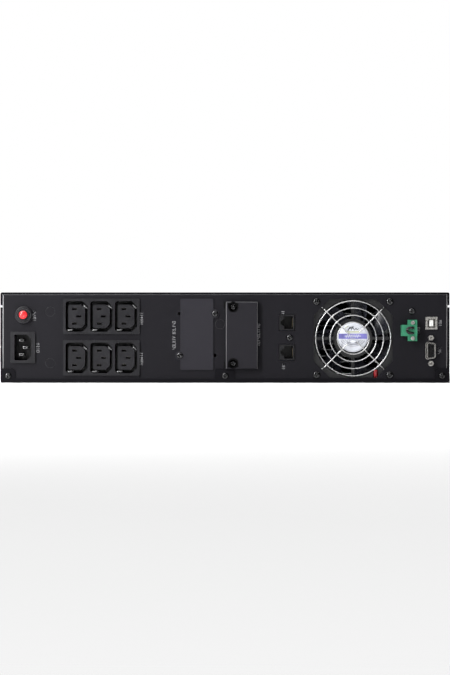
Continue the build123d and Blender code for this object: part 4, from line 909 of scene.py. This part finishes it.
# ------------------------------------------------------------------ printing on the front
DIGITS = {"0": "abcdef", "2": "abged", "3": "abgcd"}
SEGMENTS = {"a": ((0, 2), (1, 2)), "b": ((1, 2), (1, 1)), "c": ((1, 1), (1, 0)),
            "d": ((0, 0), (1, 0)), "e": ((0, 1), (0, 0)), "f": ((0, 2), (0, 1)),
            "g": ((0, 1), (1, 1))}
PRINT_HALF, PRINT_SUNK, LAMP_PITCH = 0.05, 0.02, 7


def front_marks(name, lines, y, material, body, width):
    """Printed lines on a face that looks to the front; x counts to the right as seen there."""
    bm = bmesh.new()
    for points in lines:
        stroke(bm, [(pod.x - u, v) for u, v in points], width, y + PRINT_HALF, y - PRINT_HALF)
    add_mesh(name, bm, material, body, smooth=False)


def digit_lines(text, left, low, size):
    """Seven-segment figures as lines, from a lower left corner."""
    lines = []
    for place, figure in enumerate(text):
        start = left + place * size * 1.7
        for segment in DIGITS[figure]:
            lines.append([(start + u * size, low + v * size) for u, v in SEGMENTS[segment]])
    return lines


def build_front():
    """The display's figures and signs, the button signs and the lamps' marks."""
    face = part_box("lcd_panel")[1].y / MM
    z = middle("display_window").z / MM
    front_marks("screen_digits", digit_lines("230", -12.0, z - 5.0, 5.0), face, label_paper,
                "display", 0.9)
    battery = [[(-20, z - 6), (-15, z - 6), (-15, z + 5), (-20, z + 5), (-20, z - 6)],
               [(-18.5, z + 6), (-16.5, z + 6)]]
    battery += [[(-19, z + v), (-16, z + v)] for v in (-4.5, -2.5, -0.5, 1.5, 3.5)]
    load = [[(16 + k * 1.2, z - 6), (16 + k * 1.2, z - 4 + k * 2)] for k in range(4)]
    rules = [[(-12.5, z + v), (12.5, z + v)] for v in (8, -8)]
    front_marks("screen_icons", battery + load + rules, face, label_paper, "display",
                0.55)
    signs = {"button_on": [ring_points(1.7, 18, 120, 300), [(0, 0.4), (0, 2.3)]],
             "button_off": [ring_points(1.8, 20)],
             "button_select": [[(-1.4, -1.3), (1.6, 0), (-1.4, 1.3), (-1.4, -1.3)]]}
    for node, lines in signs.items():
        spot = middle(node) / MM
        placed = [[(pod.x - spot.x + u, spot.z + v) for u, v in points] for points in lines]
        front_marks("mark_" + node, placed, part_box(node)[1].y / MM - PRINT_SUNK, print_white, node,
                    0.42)
    lamps = middle("status_lights") / MM
    marks = []
    for number in range(4):
        u = LAMP_PITCH * (number - 1.5)
        marks.append([(u - 1.6, lamps.z - 3.6), (u + 1.6, lamps.z - 3.6)])
        if number % 2:
            marks.append([(u - 1.2, lamps.z - 4.8), (u, lamps.z - 4.2), (u + 1.2, lamps.z - 4.8)])
    front_marks("mark_lamps", marks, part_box("display_pod")[1].y / MM - PRINT_SUNK, print_white,
                "display", 0.36)


build_front()


# ------------------------------------------------------------------ floor, light and camera
def soft_edged(material, start, end):
    """Let a floor fade out between two distances from its middle, in metres."""
    tree = material.node_tree
    place = tree.nodes.new("ShaderNodeTexCoord").outputs["Object"]
    far = tree.nodes.new("ShaderNodeVectorMath")
    far.operation = "LENGTH"
    tree.links.new(place, far.inputs[0])
    fade = tree.nodes.new("ShaderNodeMapRange")
    fade.interpolation_type = "SMOOTHSTEP"
    tree.links.new(far.outputs["Value"], fade.inputs["Value"])
    fade.inputs["From Min"].default_value = start
    fade.inputs["From Max"].default_value = end
    blend = tree.nodes.new("ShaderNodeMixShader")
    tree.links.new(fade.outputs["Result"], blend.inputs[0])
    tree.links.new(tree.nodes["Principled BSDF"].outputs[0], blend.inputs[1])
    tree.links.new(tree.nodes.new("ShaderNodeBsdfTransparent").outputs[0], blend.inputs[2])
    tree.links.new(blend.outputs[0], tree.nodes["Material Output"].inputs["Surface"])
    return material


FLOOR_HALF, FADE_START, FADE_END = 2.6, 1.0, 2.2  # metres
SKY_LOW, SKY_HIGH = 0.02, 0.15


def studio():
    """A pale floor that fades out, a dim grey sky that the camera sees as white, and five lamps."""
    floor_mesh = bmesh.new()
    bmesh.ops.create_grid(floor_mesh, x_segments=1, y_segments=1, size=FLOOR_HALF)
    mesh = bpy.data.meshes.new("floor")
    floor_mesh.to_mesh(mesh)
    floor_mesh.free()
    floor = bpy.data.objects.new("floor", mesh)
    bpy.context.scene.collection.objects.link(floor)
    floor.location.z = -0.0002
    pale = finish_of("pale_floor", (0.86, 0.86, 0.86), 0.9, specular=0.1, cloud=3, vary=0.01,
                     grain=40, depth=0.01)
    floor.data.materials.append(soft_edged(pale, FADE_START, FADE_END))

    world = bpy.data.worlds.new("studio")
    bpy.context.scene.world = world
    world.use_nodes = True
    tree = world.node_tree
    background = tree.nodes["Background"]
    background.inputs["Color"].default_value = (1, 1, 1, 1)
    upward = tree.nodes.new("ShaderNodeSeparateXYZ")
    tree.links.new(tree.nodes.new("ShaderNodeTexCoord").outputs["Generated"], upward.inputs[0])
    sky = tree.nodes.new("ShaderNodeMapRange")
    tree.links.new(upward.outputs["Z"], sky.inputs["Value"])
    sky.inputs["From Min"].default_value = 0.1
    sky.inputs["To Min"].default_value = SKY_LOW
    sky.inputs["To Max"].default_value = SKY_HIGH
    brightest = tree.nodes.new("ShaderNodeMath")
    brightest.operation = "MAXIMUM"
    tree.links.new(sky.outputs["Result"], brightest.inputs[0])
    seen = tree.nodes.new("ShaderNodeLightPath").outputs["Is Camera Ray"]
    tree.links.new(seen, brightest.inputs[1])
    tree.links.new(brightest.outputs[0], background.inputs["Strength"])

    def area(name, place, target, width, height, power):
        """A rectangular lamp that looks at a target; metres and watts."""
        lamp = bpy.data.lights.new(name, "AREA")
        lamp.shape = "RECTANGLE"
        lamp.size, lamp.size_y, lamp.energy = width, height, power
        thing = bpy.data.objects.new(name, lamp)
        thing.location = place
        thing.rotation_euler = (Vector(target) - Vector(place)).to_track_quat("-Z", "Y").to_euler()
        bpy.context.scene.collection.objects.link(thing)

    area("overhead", (-0.5, 0.1, 2.2), (0, 0.1, 0), 2.8, 2.8, 85)
    area("left_strip", (-0.62, -0.95, 0.5), (-0.2, -0.2, 0.1), 0.12, 0.8, 14)
    area("right_high", (1.1, -1.6, 1.2), (-0.1, -0.2, 0.05), 0.16, 0.16, 2.2)
    area("front_left", (-1.4, 2.0, 1.0), (0, 0.2, 0.05), 0.6, 1.0, 16)
    area("front_right", (1.7, 1.6, 0.9), (0, 0.2, 0.05), 0.3, 1.2, 10)


studio()

LENS, SENSOR = 100.0, 36.0
DISTANCE = 1.83  # metres from the rear panel
camera = bpy.data.objects.new("camera", bpy.data.cameras.new("camera"))
bpy.context.scene.collection.objects.link(camera)
camera.data.lens, camera.data.sensor_width = LENS, SENSOR
camera.location = (0, REAR - DISTANCE, middle("rear_panel").z)
camera.rotation_euler = (math.radians(90), 0, 0)
bpy.context.scene.camera = camera
bpy.context.scene.view_settings.view_transform = "Standard"
